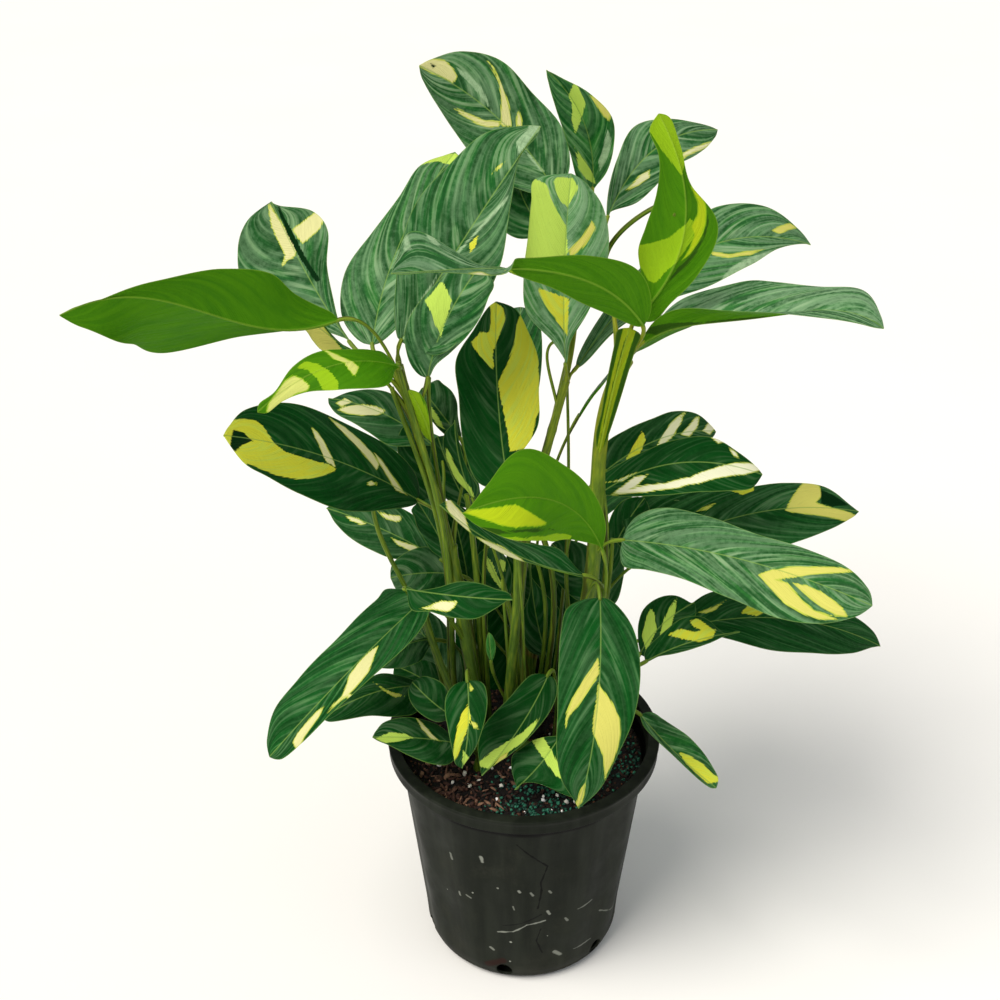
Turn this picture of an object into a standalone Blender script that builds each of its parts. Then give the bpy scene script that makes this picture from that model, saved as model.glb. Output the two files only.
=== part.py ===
"""Potted ctenanthe: a variegated house plant in a moulded nursery pot.

Metres, +Z up. The origin is the centre of the pot's base, on the floor. The front of the plant
looks towards -Y. Every leaf, every shoot, the soil and the pot is a body of its own.
"""
import math

import bmesh
import bpy
import numpy as np
from mathutils import Vector

PART_NAME = "potted_ctenanthe"

# Pot: a common 10 inch nursery pot.
POT_HEIGHT = 0.231
POT_RIM_RADIUS = 0.127
POT_TOP_RADIUS = 0.1185
POT_BASE_RADIUS = 0.0925
POT_CORNER_RADIUS = 0.012
POT_WALL = 0.0020
POT_FLOOR = 0.0030
CORNER_STEPS = 3
RIM_BAND_HEIGHT = 0.014
RIM_BAND_DRAFT = 0.001
RIM_ROUND = 0.0015
POT_SIDES = 48
FLUTE_COUNT = 12
FLUTE_DEPTH = 0.0016
FLUTE_FADE = 0.020
DRAIN_COUNT = 6
DRAIN_RADIUS = 0.007
DRAIN_HEIGHT = 0.011
DRAIN_INSET = 0.004
DRAIN_SIDES = 10
DRAIN_CUT_LENGTH = 0.030
DRAIN_PITCH = 0.55
DRAIN_TURN = math.radians(-97)

# Soil and how the shoots stand in it.
SOIL_TOP = 0.210
SOIL_CROWN = 0.004
SOIL_CROWN_RINGS = ((0.055, 0.2), (0.090, 0.6))
SOIL_LOW_HEIGHT = 0.030
SOIL_SIDES = 36
FOOT_SIDES = 12
FOOT_DEPTH = 0.040
FOOT_ABOVE = 0.012
CANE_SINK = 0.010
GAP = 0.0003
SHARP_ANGLE = math.radians(35)

# Leaves.
BLADE_THICKNESS = 0.0009
BLADE_ROWS = 9
BLADE_COLUMNS = 4
BLADE_END_WIDTH = 0.0026
BLADE_ENDS = (0.5, 0.7)
BLADE_FOLD = 12
BLADE_CURL = -20
BLADE_WAVE = 0.05
WAVE_LEAD = 1.9
ROW_CROWDING = 0.6
PETIOLE_GAP = 0.0008
PETIOLE_RADIUS = 0.0017
PETIOLE_FOOT_RADIUS = 0.0026
PETIOLE_SIDES_LEVEL = 1
PETIOLE_POINTS = 6
PETIOLE_LEAVE = 0.45
PETIOLE_ARRIVE = 0.30
CANE_SIDES_LEVEL = 2
CANE_POINTS = 9

COLOURS = {
    "pot": ((0.022, 0.024, 0.022), 0.50),
    "soil": ((0.035, 0.020, 0.013), 0.95),
    "shoot": ((0.16, 0.24, 0.035), 0.45),
    "leaf": ((0.018, 0.10, 0.042), 0.38),
    "leaf_underside": ((0.12, 0.26, 0.012), 0.45),
}

# Shoots: where each comes out of the soil, the radius of its foot, and the cane that it carries, if any,
# as points up to its top and the radius at its foot and its top.
SHOOTS = {
    "shoot_left": dict(foot=(-0.038, 0.012), foot_radius=0.009, cane_radius=(0.0055, 0.0035),
                       cane=[(-0.046, 0.008, 0.300), (-0.072, 0.000, 0.465), (-0.097, -0.010, 0.580),
                             (-0.103, -0.010, 0.612)]),
    "shoot_middle": dict(foot=(-0.006, 0.034), foot_radius=0.009, cane_radius=(0.0060, 0.0035),
                         cane=[(-0.006, 0.032, 0.300), (0.001, 0.024, 0.425), (0.018, 0.020, 0.520),
                               (0.033, 0.021, 0.583)]),
    "shoot_right": dict(foot=(0.036, 0.004), foot_radius=0.010, cane_radius=(0.0075, 0.0060),
                        cane=[(0.044, 0.003, 0.300), (0.060, 0.000, 0.430), (0.061, 0.000, 0.510),
                              (0.080, -0.008, 0.616)]),
    "shoot_centre_low": dict(foot=(0.000, -0.002), foot_radius=0.008),
    "shoot_right_low": dict(foot=(0.054, 0.036), foot_radius=0.009),
    "shoot_front": dict(foot=(0.028, -0.036), foot_radius=0.008),
    "shoot_left_low": dict(foot=(-0.052, 0.046), foot_radius=0.008),
    "shoot_front_left": dict(foot=(-0.040, -0.028), foot_radius=0.007),
    "shoot_rear": dict(foot=(0.008, 0.070), foot_radius=0.008),
}

# Leaves. Each grows from a shoot: start is how far up its cane, from 0 to 1, or 0 at a foot without a cane.
# midrib runs from the base to the tip. faces is the way the upper side looks at the base and at the tip, and
# twist_at how late it turns between them. ends shape the base and the tip: a low number is blunt, a high
# one drawn out. share is the left half's part of the width. fold lifts the halves off the flat and curl
# bends them on outwards, in degrees, as one value, (left, right) or that at the base and then at the tip.
LEAVES = {
    "leaf_top_left": dict(
        shoot="shoot_middle", start=0.9,
        midrib=[(0.030, 0.100, 0.708), (-0.014, 0.130, 0.763), (-0.088, 0.130, 0.816)],
        width=0.078, faces=[(-0.3, -0.55, 0.7), (-0.2, -0.8, 0.3)],
        ends=(0.55, 0.5), fold=8,
    ),
    "leaf_top_middle": dict(
        shoot="shoot_middle", start=0.8,
        midrib=[(0.053, 0.070, 0.731), (0.047, 0.070, 0.780), (0.014, 0.060, 0.830)],
        width=0.048, faces=[(-0.3, -0.9, 0.3)],
        ends=(0.5, 0.7), fold=(45, 15),
    ),
    "leaf_top_right": dict(
        shoot="shoot_right", start=0.92,
        midrib=[(0.066, 0.070, 0.707), (0.101, 0.110, 0.748), (0.164, 0.160, 0.754)],
        width=0.055, faces=[(0.2, -0.7, 0.7)],
        ends=(0.5, 0.6),
    ),
    "leaf_twisted_upright": dict(
        shoot="shoot_right", start=0.97,
        midrib=[(0.086, -0.010, 0.653), (0.118, -0.020, 0.728), (0.095, -0.010, 0.816)],
        width=0.056, faces=[(0.25, 0.95, 0.0), (-0.5, 0.8, 0.0)],
        ends=(0.45, 1.0), fold=15,
    ),
    "leaf_twisted_left": dict(
        shoot="shoot_right", start=0.99,
        midrib=[(0.084, -0.025, 0.666), (0.018, -0.080, 0.718), (-0.087, -0.150, 0.771)],
        width=0.046, faces=[(0, 0.8, -0.4), (0, -0.3, 0.9)],
        ends=(0.35, 0.6), share=(0.55, 0.3), twist_at=3.5,
    ),
    "leaf_right_upper": dict(
        shoot="shoot_middle", start=0.99,
        midrib=[(0.042, 0.030, 0.591), (0.141, 0.080, 0.674), (0.250, 0.140, 0.658)],
        width=0.07, faces=[(0.1, -0.6, 0.8)],
        ends=(0.6, 0.5),
    ),
    "leaf_right_level": dict(
        shoot="shoot_right", start=0.95,
        midrib=[(0.096, -0.005, 0.630), (0.182, -0.050, 0.690), (0.261, -0.090, 0.680)],
        width=0.062, faces=[(0.1, -0.25, 1)],
        ends=(0.6, 0.42), fold=8, curl=-30,
    ),
    "leaf_middle_upright": dict(
        shoot="shoot_middle", start=0.99,
        midrib=[(0.032, 0.015, 0.600), (0.029, 0.010, 0.677), (0.034, 0.020, 0.754)],
        width=0.07, faces=[(0, -0.95, 0.3)],
        ends=(0.5, 0.45), fold=12,
    ),
    "leaf_left_tall": dict(
        shoot="shoot_left", start=0.99,
        midrib=[(-0.101, -0.015, 0.635), (-0.052, 0.000, 0.712), (0.009, 0.030, 0.795)],
        width=0.08, faces=[(-0.1, -0.75, 0.6)],
        ends=(0.55, 0.55), share=0.6, fold=10,
    ),
    "leaf_left_tall_rear": dict(
        shoot="shoot_left", start=0.93,
        midrib=[(-0.127, 0.020, 0.616), (-0.108, 0.070, 0.678), (-0.059, 0.110, 0.750)],
        width=0.076, faces=[(-0.3, -0.7, 0.6)],
        ends=(0.5, 0.5),
    ),
    "leaf_left_inner": dict(
        shoot="shoot_left", start=0.8,
        midrib=[(-0.080, 0.010, 0.591), (-0.062, 0.015, 0.645), (-0.028, 0.030, 0.695)],
        width=0.066, faces=[(0, -0.8, 0.5)],
        ends=(0.5, 0.6),
    ),
    "leaf_far_left": dict(
        shoot="shoot_left", start=0.88,
        midrib=[(-0.149, -0.020, 0.656), (-0.222, -0.050, 0.667),
                (-0.275, -0.080, 0.698), (-0.339, -0.110, 0.698)],
        width=0.076, faces=[(0, 1, -0.05)],
        ends=(0.45, 0.7), share=(0.72, 0.2), fold=(10, 55, 10, 5), curl=(-10, -10, 0, -15),
    ),
    "leaf_far_left_rear": dict(
        shoot="shoot_left", start=0.84,
        midrib=[(-0.144, 0.010, 0.623), (-0.185, 0.070, 0.662), (-0.213, 0.100, 0.711)],
        width=0.078, faces=[(-0.2, -0.8, 0.5)],
        ends=(0.7, 0.3), share=0.58,
    ),
    "leaf_top_rear": dict(
        shoot="shoot_middle", start=0.84,
        midrib=[(0.023, 0.110, 0.654), (-0.003, 0.140, 0.699), (0.002, 0.170, 0.753)],
        width=0.05, faces=[(0, -0.8, 0.5)],
    ),
    "leaf_left_arched": dict(
        shoot="shoot_left", start=0.97,
        midrib=[(-0.103, -0.030, 0.619), (-0.149, -0.060, 0.635), (-0.208, -0.080, 0.605)],
        width=0.052, faces=[(-0.1, 0.3, -0.9), (-0.4, 0.5, -0.6)],
        ends=(0.35, 0.75), fold=-8, curl=15,
    ),
    "leaf_left_broad": dict(
        shoot="shoot_left", start=0.62,
        midrib=[(-0.093, 0.020, 0.469), (-0.165, -0.030, 0.539), (-0.234, -0.090, 0.590)],
        width=0.084, faces=[(-0.1, -0.6, 0.8)],
        ends=(0.45, 0.42),
    ),
    "leaf_left_broad_rear": dict(
        shoot="shoot_left", start=0.6,
        midrib=[(-0.078, 0.050, 0.504), (-0.124, 0.080, 0.522), (-0.177, 0.110, 0.523)],
        width=0.054, faces=[(-0.1, -0.5, 0.8)],
    ),
    "leaf_left_lower_rear": dict(
        shoot="shoot_left_low", start=0,
        midrib=[(-0.075, 0.050, 0.388), (-0.128, 0.070, 0.408), (-0.184, 0.100, 0.414)],
        width=0.06, faces=[(-0.1, -0.5, 0.8)],
    ),
    "leaf_lower_left_drooping": dict(
        shoot="shoot_left_low", start=0,
        midrib=[(-0.086, 0.000, 0.383), (-0.135, -0.060, 0.365), (-0.217, -0.120, 0.299)],
        width=0.06, faces=[(-0.45, -0.5, 0.6)],
        ends=(0.5, 0.6), fold=12,
    ),
    "leaf_lower_left_cross": dict(
        shoot="shoot_left", start=0.38,
        midrib=[(-0.101, -0.090, 0.450), (-0.054, -0.105, 0.452), (-0.012, -0.110, 0.452)],
        width=0.04, faces=[(0.1, -0.6, 0.8)],
        ends=(0.5, 0.6),
    ),
    "leaf_lower_left_small": dict(
        shoot="shoot_left_low", start=0,
        midrib=[(-0.081, 0.010, 0.328), (-0.108, 0.000, 0.329), (-0.134, -0.010, 0.311)],
        width=0.034, faces=[(-0.2, -0.6, 0.8)],
    ),
    "leaf_low_left": dict(
        shoot="shoot_left_low", start=0,
        midrib=[(-0.076, 0.010, 0.271), (-0.126, -0.020, 0.294), (-0.182, -0.040, 0.277)],
        width=0.05, faces=[(-0.1, -0.5, 0.9)],
    ),
    "leaf_low_left_round": dict(
        shoot="shoot_front_left", start=0,
        midrib=[(-0.060, -0.050, 0.285), (-0.083, -0.060, 0.313), (-0.099, -0.050, 0.325)],
        width=0.048, faces=[(-0.2, -0.6, 0.8)],
    ),
    "leaf_rim_left": dict(
        shoot="shoot_front_left", start=0,
        midrib=[(-0.056, -0.050, 0.255), (-0.096, -0.080, 0.287), (-0.131, -0.100, 0.304)],
        width=0.05, faces=[(-0.1, -0.5, 0.9)],
    ),
    "leaf_low_hanging": dict(
        shoot="shoot_front_left", start=0,
        midrib=[(-0.050, -0.070, 0.342), (-0.049, -0.100, 0.317), (-0.055, -0.100, 0.270)],
        width=0.036, faces=[(0, -0.9, 0.4)],
    ),
    "leaf_low_middle": dict(
        shoot="shoot_front", start=0,
        midrib=[(0.021, -0.030, 0.318), (-0.006, -0.070, 0.288), (-0.038, -0.090, 0.253)],
        width=0.05, faces=[(-0.3, -0.7, 0.5)],
    ),
    "leaf_low_soil": dict(
        shoot="shoot_front", start=0,
        midrib=[(0.031, -0.070, 0.282), (0.013, -0.080, 0.257), (-0.009, -0.090, 0.237)],
        width=0.044, faces=[(-0.2, -0.8, 0.6)],
    ),
    "leaf_front_hanging": dict(
        shoot="shoot_front", start=0,
        midrib=[(0.062, -0.060, 0.421), (0.059, -0.120, 0.359), (0.045, -0.130, 0.251)],
        width=0.074, faces=[(0, -0.95, 0.4)],
        ends=(0.42, 0.6), fold=10,
    ),
    "leaf_rim_right": dict(
        shoot="shoot_front", start=0,
        midrib=[(0.106, -0.020, 0.266), (0.136, -0.060, 0.253), (0.169, -0.090, 0.239)],
        width=0.032, faces=[(0.3, -0.6, 0.6)],
    ),
    "leaf_low_right_curled": dict(
        shoot="shoot_right_low", start=0,
        midrib=[(0.107, 0.020, 0.304), (0.129, 0.020, 0.341), (0.154, 0.020, 0.362)],
        width=0.046, faces=[(-0.2, -0.7, 0.6), (0.1, -0.7, 0.7)],
    ),
    "leaf_low_right_striped": dict(
        shoot="shoot_right_low", start=0,
        midrib=[(0.108, -0.020, 0.325), (0.146, -0.025, 0.350), (0.189, -0.025, 0.361)],
        width=0.04, faces=[(0.1, -0.5, 0.8)],
    ),
    "leaf_low_right_long": dict(
        shoot="shoot_right_low", start=0,
        midrib=[(0.111, 0.060, 0.292), (0.239, 0.090, 0.297), (0.356, 0.110, 0.249)],
        width=0.068, faces=[(0.1, -0.4, 0.9)],
    ),
    "leaf_right_big": dict(
        shoot="shoot_right", start=0.5,
        midrib=[(0.082, -0.020, 0.453), (0.179, -0.070, 0.464), (0.274, -0.120, 0.453)],
        width=0.064, faces=[(0.15, -0.6, 0.8)],
        ends=(0.45, 0.5),
    ),
    "leaf_right_big_rear": dict(
        shoot="shoot_right_low", start=0,
        midrib=[(0.104, 0.030, 0.401), (0.198, 0.050, 0.436), (0.305, 0.070, 0.428)],
        width=0.064, faces=[(0.1, -0.5, 0.8)],
    ),
    "leaf_right_streaked_rear": dict(
        shoot="shoot_right_low", start=0,
        midrib=[(0.071, 0.060, 0.475), (0.124, 0.090, 0.493), (0.177, 0.120, 0.484)],
        width=0.06, faces=[(0.1, -0.6, 0.7)],
    ),
    "leaf_right_streaked": dict(
        shoot="shoot_right_low", start=0,
        midrib=[(0.067, 0.030, 0.471), (0.132, 0.020, 0.506), (0.202, 0.010, 0.500)],
        width=0.06, faces=[(0.1, -0.6, 0.7)],
    ),
    "leaf_middle_yellow": dict(
        shoot="shoot_centre_low", start=0,
        midrib=[(-0.015, -0.020, 0.504), (-0.024, 0.020, 0.571), (-0.025, 0.060, 0.638)],
        width=0.068, faces=[(0, -0.9, 0.4)],
        ends=(0.5, 0.5),
    ),
    "leaf_middle_bright": dict(
        shoot="shoot_front", start=0,
        midrib=[(0.063, -0.060, 0.466), (0.017, -0.100, 0.539), (-0.050, -0.150, 0.556)],
        width=0.074, faces=[(0.0, 0.95, -0.2), (-0.2, 0.6, -0.6)],
        ends=(0.5, 0.6), fold=-15, curl=15,
    ),
    "leaf_middle_under": dict(
        shoot="shoot_front", start=0,
        midrib=[(0.050, -0.040, 0.430), (-0.014, -0.060, 0.466), (-0.071, -0.060, 0.511)],
        width=0.042, faces=[(-0.1, -0.4, 0.9)],
    ),
    "leaf_middle_small": dict(
        shoot="shoot_centre_low", start=0,
        midrib=[(-0.045, 0.010, 0.475), (-0.056, 0.010, 0.512), (-0.060, 0.012, 0.551)],
        width=0.03, faces=[(0, -0.9, 0.4)],
    ),
    "leaf_left_lime_small": dict(
        shoot="shoot_left", start=0.9,
        midrib=[(-0.137, -0.005, 0.618), (-0.154, -0.005, 0.632), (-0.177, -0.005, 0.651)],
        width=0.03, faces=[(-0.1, -0.5, 0.8)],
    ),
    "leaf_shade_middle": dict(
        shoot="shoot_rear", start=0,
        midrib=[(0.024, 0.060, 0.269), (0.011, 0.060, 0.326), (0.006, 0.070, 0.376)],
        width=0.05, faces=[(0, -0.7, 0.5)],
    ),
    "leaf_rear_left": dict(
        shoot="shoot_rear", start=0,
        midrib=[(-0.045, 0.120, 0.400), (-0.100, 0.165, 0.445), (-0.160, 0.205, 0.420)],
        width=0.066, faces=[(-0.2, 0.3, 0.9)],
    ),
    "leaf_rear_right": dict(
        shoot="shoot_rear", start=0,
        midrib=[(0.060, 0.125, 0.380), (0.115, 0.175, 0.420), (0.160, 0.230, 0.385)],
        width=0.066, faces=[(0.2, 0.3, 0.9)],
    ),
    "leaf_rear_upper": dict(
        shoot="shoot_rear", start=0,
        midrib=[(0.015, 0.140, 0.480), (0.025, 0.190, 0.550), (0.035, 0.255, 0.560)],
        width=0.068, faces=[(0, -0.3, 0.9), (0, 0.3, 0.9)],
    ),
    "leaf_rear_low": dict(
        shoot="shoot_rear", start=0,
        midrib=[(0.010, 0.125, 0.290), (0.000, 0.165, 0.300), (-0.015, 0.210, 0.265)],
        width=0.05, faces=[(0, 0.4, 0.9)],
    ),
    "leaf_rear_side_left": dict(
        shoot="shoot_rear", start=0,
        midrib=[(-0.050, 0.110, 0.330), (-0.100, 0.130, 0.350), (-0.150, 0.150, 0.325)],
        width=0.054, faces=[(-0.2, 0.2, 0.9)],
    ),
    "leaf_rear_side_right": dict(
        shoot="shoot_rear", start=0,
        midrib=[(0.050, 0.120, 0.500), (0.105, 0.150, 0.555), (0.160, 0.190, 0.560)],
        width=0.062, faces=[(0.2, -0.1, 0.9)],
    ),
}


def clear_scene():
    for obj in list(bpy.data.objects):
        bpy.data.objects.remove(obj, do_unlink=True)


def new_collection(name):
    collection = bpy.data.collections.new(name)
    bpy.context.scene.collection.children.link(collection)
    return collection


def make_material(name, colour, roughness):
    material = bpy.data.materials.new(name)
    material.use_nodes = True
    shader = material.node_tree.nodes["Principled BSDF"]
    shader.inputs["Base Color"].default_value = (*colour, 1.0)
    shader.inputs["Roughness"].default_value = roughness
    shader.inputs["Metallic"].default_value = 0.0
    return material


def add_mesh(name, mesh, collection):
    obj = bpy.data.objects.new(name, mesh)
    collection.objects.link(obj)
    return obj


def add_material(obj, key):
    colour, roughness = COLOURS[key]
    obj.data.materials.append(make_material("%s_%s" % (obj.name, key), colour, roughness))


def shade(obj):
    """Round sides drawn smooth, and the edges sharper than SHARP_ANGLE left sharp."""
    obj.data.shade_smooth()
    obj.data.set_sharp_from_angle(angle=SHARP_ANGLE)


def evaluated_mesh(obj):
    bpy.context.view_layer.update()
    graph = bpy.context.evaluated_depsgraph_get()
    return bpy.data.meshes.new_from_object(obj.evaluated_get(graph))


def apply_modifiers(obj):
    mesh = evaluated_mesh(obj)
    obj.modifiers.clear()
    obj.data = mesh


def boolean(obj, other, operation):
    """A Boolean of obj with another object, or with a collection of them, applied."""
    modifier = obj.modifiers.new(operation.lower(), "BOOLEAN")
    modifier.operation = operation
    modifier.solver = "EXACT"
    if isinstance(other, bpy.types.Collection):
        modifier.operand_type = "COLLECTION"
        modifier.collection = other
    else:
        modifier.object = other
    apply_modifiers(obj)


def round_bar(name, radius, depth, sides, collection, centre=(0.0, 0.0, 0.0)):
    """A plain round bar along Z about its centre."""
    mesh = bpy.data.meshes.new(name)
    bm = bmesh.new()
    bmesh.ops.create_cone(bm, cap_ends=True, segments=sides, radius1=radius, radius2=radius, depth=depth)
    bmesh.ops.translate(bm, verts=bm.verts, vec=centre)
    bm.to_mesh(mesh)
    bm.free()
    return add_mesh(name, mesh, collection)


def as_cutter(obj):
    obj.hide_render = True
    obj.display_type = "WIRE"


def turned(name, profile, collection, sides):
    """A solid turned about Z from a profile of (radius, height) that runs down its outer side."""
    mesh = bpy.data.meshes.new(name)
    bm = bmesh.new()
    corners = [bm.verts.new((radius, 0.0, height)) for radius, height in profile]
    for first, second in zip(corners, corners[1:]):
        bm.edges.new((first, second))
    bm.to_mesh(mesh)
    bm.free()
    obj = add_mesh(name, mesh, collection)
    screw = obj.modifiers.new("turn", "SCREW")
    screw.axis = "Z"
    screw.angle = math.tau
    screw.steps = screw.render_steps = sides
    screw.use_merge_vertices = True
    screw.merge_threshold = 0.0001
    apply_modifiers(obj)
    bm = bmesh.new()
    bm.from_mesh(obj.data)
    bmesh.ops.recalc_face_normals(bm, faces=bm.faces)
    bm.to_mesh(obj.data)
    bm.free()
    return obj


def pot_side_radius(height):
    """Radius of the plain tapered side, outside, at a height above the floor."""
    return POT_BASE_RADIUS + (POT_TOP_RADIUS - POT_BASE_RADIUS) * height / POT_HEIGHT


def corner_arc(radius, centre_radius, centre_height):
    """Quarter round from the side to the base, downwards."""
    return [(centre_radius + radius * math.cos(a), centre_height - radius * math.sin(a))
            for a in (math.radians(90) * i / CORNER_STEPS for i in range(CORNER_STEPS + 1))]


def pot_profile():
    """The pot's section, from the middle of its floor up the inside, over the rim and down the outside."""
    corner_centre = POT_BASE_RADIUS - POT_CORNER_RADIUS
    outer_corner = corner_arc(POT_CORNER_RADIUS, corner_centre, POT_CORNER_RADIUS)
    inner_corner = corner_arc(POT_CORNER_RADIUS - POT_WALL, corner_centre,
                              POT_CORNER_RADIUS + POT_FLOOR - POT_WALL)
    band_foot = POT_HEIGHT - RIM_BAND_HEIGHT
    fade_low = POT_CORNER_RADIUS + FLUTE_FADE
    fade_high = band_foot - FLUTE_FADE
    outer_side = [(pot_side_radius(h), h) for h in (band_foot - RIM_ROUND, fade_high, fade_low)]
    inner_side = [(pot_side_radius(h) - POT_WALL, h) for h in (fade_low, fade_high, band_foot, POT_HEIGHT)]
    rim = [(POT_RIM_RADIUS - RIM_ROUND, POT_HEIGHT),
           (POT_RIM_RADIUS, POT_HEIGHT - RIM_ROUND),
           (POT_RIM_RADIUS - RIM_BAND_DRAFT, band_foot)]
    inside = [(0.0, POT_FLOOR)] + inner_corner[::-1] + inner_side
    outside = outer_side + outer_corner + [(0.0, 0.0)]
    return inside + rim + outside


def fluted(obj):
    """Presses broad shallow flutes into the wall, inner and outer face alike, fading out at both ends."""
    band_foot = POT_HEIGHT - RIM_BAND_HEIGHT
    for vertex in obj.data.vertices:
        x, y, z = vertex.co
        low = min(max((z - POT_CORNER_RADIUS) / FLUTE_FADE, 0.0), 1.0)
        high = min(max((band_foot - 2 * RIM_ROUND - z) / FLUTE_FADE, 0.0), 1.0)
        press = FLUTE_DEPTH * low * high * (0.5 - 0.5 * math.cos(FLUTE_COUNT * math.atan2(y, x)))
        scale = 1.0 - press / max(math.hypot(x, y), 0.01)
        vertex.co = (x * scale, y * scale, z)


def build_pot(collection, cutters):
    pot = turned("pot", pot_profile(), collection, POT_SIDES)
    fluted(pot)
    for i in range(DRAIN_COUNT):
        angle = DRAIN_TURN + math.tau * i / DRAIN_COUNT
        out = Vector((math.cos(angle), math.sin(angle), 0.0))
        cutter = round_bar("drain_cutter_%d" % (i + 1), DRAIN_RADIUS, DRAIN_CUT_LENGTH, DRAIN_SIDES, cutters)
        cutter.rotation_euler = Vector((out.x, out.y, -DRAIN_PITCH)).to_track_quat("Z", "Y").to_euler()
        cutter.location = out * (POT_BASE_RADIUS - DRAIN_INSET) + Vector((0.0, 0.0, DRAIN_HEIGHT))
        as_cutter(cutter)
        boolean(pot, cutter, "DIFFERENCE")
    add_material(pot, "pot")
    shade(pot)


def build_soil(collection, cutters):
    """The potting mix: it fills the pot to just under the rim band, crowned a little in the middle."""
    low = POT_FLOOR + GAP
    clear = POT_WALL + FLUTE_DEPTH + 2 * GAP
    profile = [(0.0, SOIL_TOP)]
    profile += [(radius, SOIL_TOP - drop * SOIL_CROWN) for radius, drop in SOIL_CROWN_RINGS]
    profile += [(pot_side_radius(SOIL_TOP) - clear, SOIL_TOP - SOIL_CROWN)]
    profile += [(pot_side_radius(SOIL_LOW_HEIGHT) - clear, SOIL_LOW_HEIGHT)]
    profile += [(POT_BASE_RADIUS - POT_CORNER_RADIUS - POT_WALL, low), (0.0, low)]
    soil = turned("soil", profile, collection, SOIL_SIDES)
    for name, shoot in SHOOTS.items():
        radius = shoot["foot_radius"] + GAP
        depth = 2 * (FOOT_DEPTH + GAP)
        centre = (*shoot["foot"], SOIL_TOP)
        cutter = round_bar(name + "_hole_cutter", radius, depth, FOOT_SIDES, cutters, centre)
        as_cutter(cutter)
        boolean(soil, cutter, "DIFFERENCE")
    add_material(soil, "soil")
    shade(soil)


def curve_through(points, t):
    """The polynomial through the points, spaced by their chords, and its unit tangents, at each t."""
    points = np.asarray(points, float)
    steps = np.linalg.norm(np.diff(points, axis=0), axis=1)
    spacing = np.concatenate([[0.0], np.cumsum(steps)]) / steps.sum()
    order = len(points) - 1
    terms = np.linalg.solve(np.vander(spacing), points)
    places = np.vander(t, order + 1) @ terms
    slopes = np.vander(t, order) @ (terms[:-1] * np.arange(order, 0, -1)[:, None])
    return places, slopes / np.linalg.norm(slopes, axis=1)[:, None]


def bezier(start, start_way, end, end_way, t):
    """A cubic that leaves start along start_way and reaches end along end_way."""
    start, end = np.asarray(start), np.asarray(end)
    reach = np.linalg.norm(end - start)
    leave = start + PETIOLE_LEAVE * reach * start_way
    arrive = end - PETIOLE_ARRIVE * reach * end_way
    handles = [start, leave, arrive, end]
    t = t[:, None]
    weights = [(1 - t) ** 3, 3 * t * (1 - t) ** 2, 3 * t * t * (1 - t), t ** 3]
    return sum(weight * handle for weight, handle in zip(weights, handles))


def ends_of(value):
    """A form value given once, per half, or per half at the base and the tip, as (left, right, left, right)."""
    if not isinstance(value, tuple):
        return (value,) * 4
    return value if len(value) == 4 else value * 2


def leaf_surface(leaf, u, v):
    """The leaf's middle surface over u, base to tip, and v, left margin to right margin.

    Its midrib follows the leaf's points. The blade's width is u^p (1-u)^q of the full width. Each half
    leaves the midrib at its fold angle and bends on by its curl, as an arc, and the margins wave a little.
    """
    midrib, along = curve_through(leaf["midrib"], u)
    faces = np.array([leaf["faces"][0], leaf["faces"][-1]], float)
    turn = (u ** leaf.get("twist_at", 1.0))[:, None]
    face = faces[0] / np.linalg.norm(faces[0]) * (1 - turn) + faces[1] / np.linalg.norm(faces[1]) * turn
    up = face - (face * along).sum(1, keepdims=True) * along
    up /= np.linalg.norm(up, axis=1)[:, None]
    side = np.cross(along, up)
    p, q = leaf.get("ends", BLADE_ENDS)
    peak = p / (p + q)
    width = leaf["width"] * (u / peak) ** p * ((1 - u) / (1 - peak)) ** q
    width = np.maximum(width, BLADE_END_WIDTH)
    share = leaf.get("share", 0.5)
    share = share if isinstance(share, tuple) else (share, share)
    left = share[0] + (share[1] - share[0]) * u
    fold = np.radians(ends_of(leaf.get("fold", BLADE_FOLD)))
    curl = np.radians(ends_of(leaf.get("curl", BLADE_CURL))) + 1e-4
    surface = np.empty((len(u), len(v), 3))
    for column, place in enumerate(v):
        half = 0 if place < 0 else 1
        out = abs(place)
        angle = fold[half] + (fold[half + 2] - fold[half]) * u
        bend = curl[half] + (curl[half + 2] - curl[half]) * u
        across = (np.sin(angle + bend * out) - np.sin(angle)) / bend
        rise = (np.cos(angle) - np.cos(angle + bend * out)) / bend
        rise += BLADE_WAVE * np.sin(2 * math.tau * u + (0.0 if half else WAVE_LEAD)) * out ** 2
        reach = width * ((1 - left) if half else left)
        sideways = math.copysign(1, place) * reach * across
        surface[:, column] = midrib + side * sideways[:, None] + up * (reach * rise)[:, None]
    return surface


def leaf_rows(rows):
    """Places along the midrib, closer together towards the base and the tip."""
    t = np.linspace(0.0, 1.0, rows + 1)
    return (1 - ROW_CROWDING) * t + ROW_CROWDING * (0.5 - 0.5 * np.cos(math.pi * t))


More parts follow.
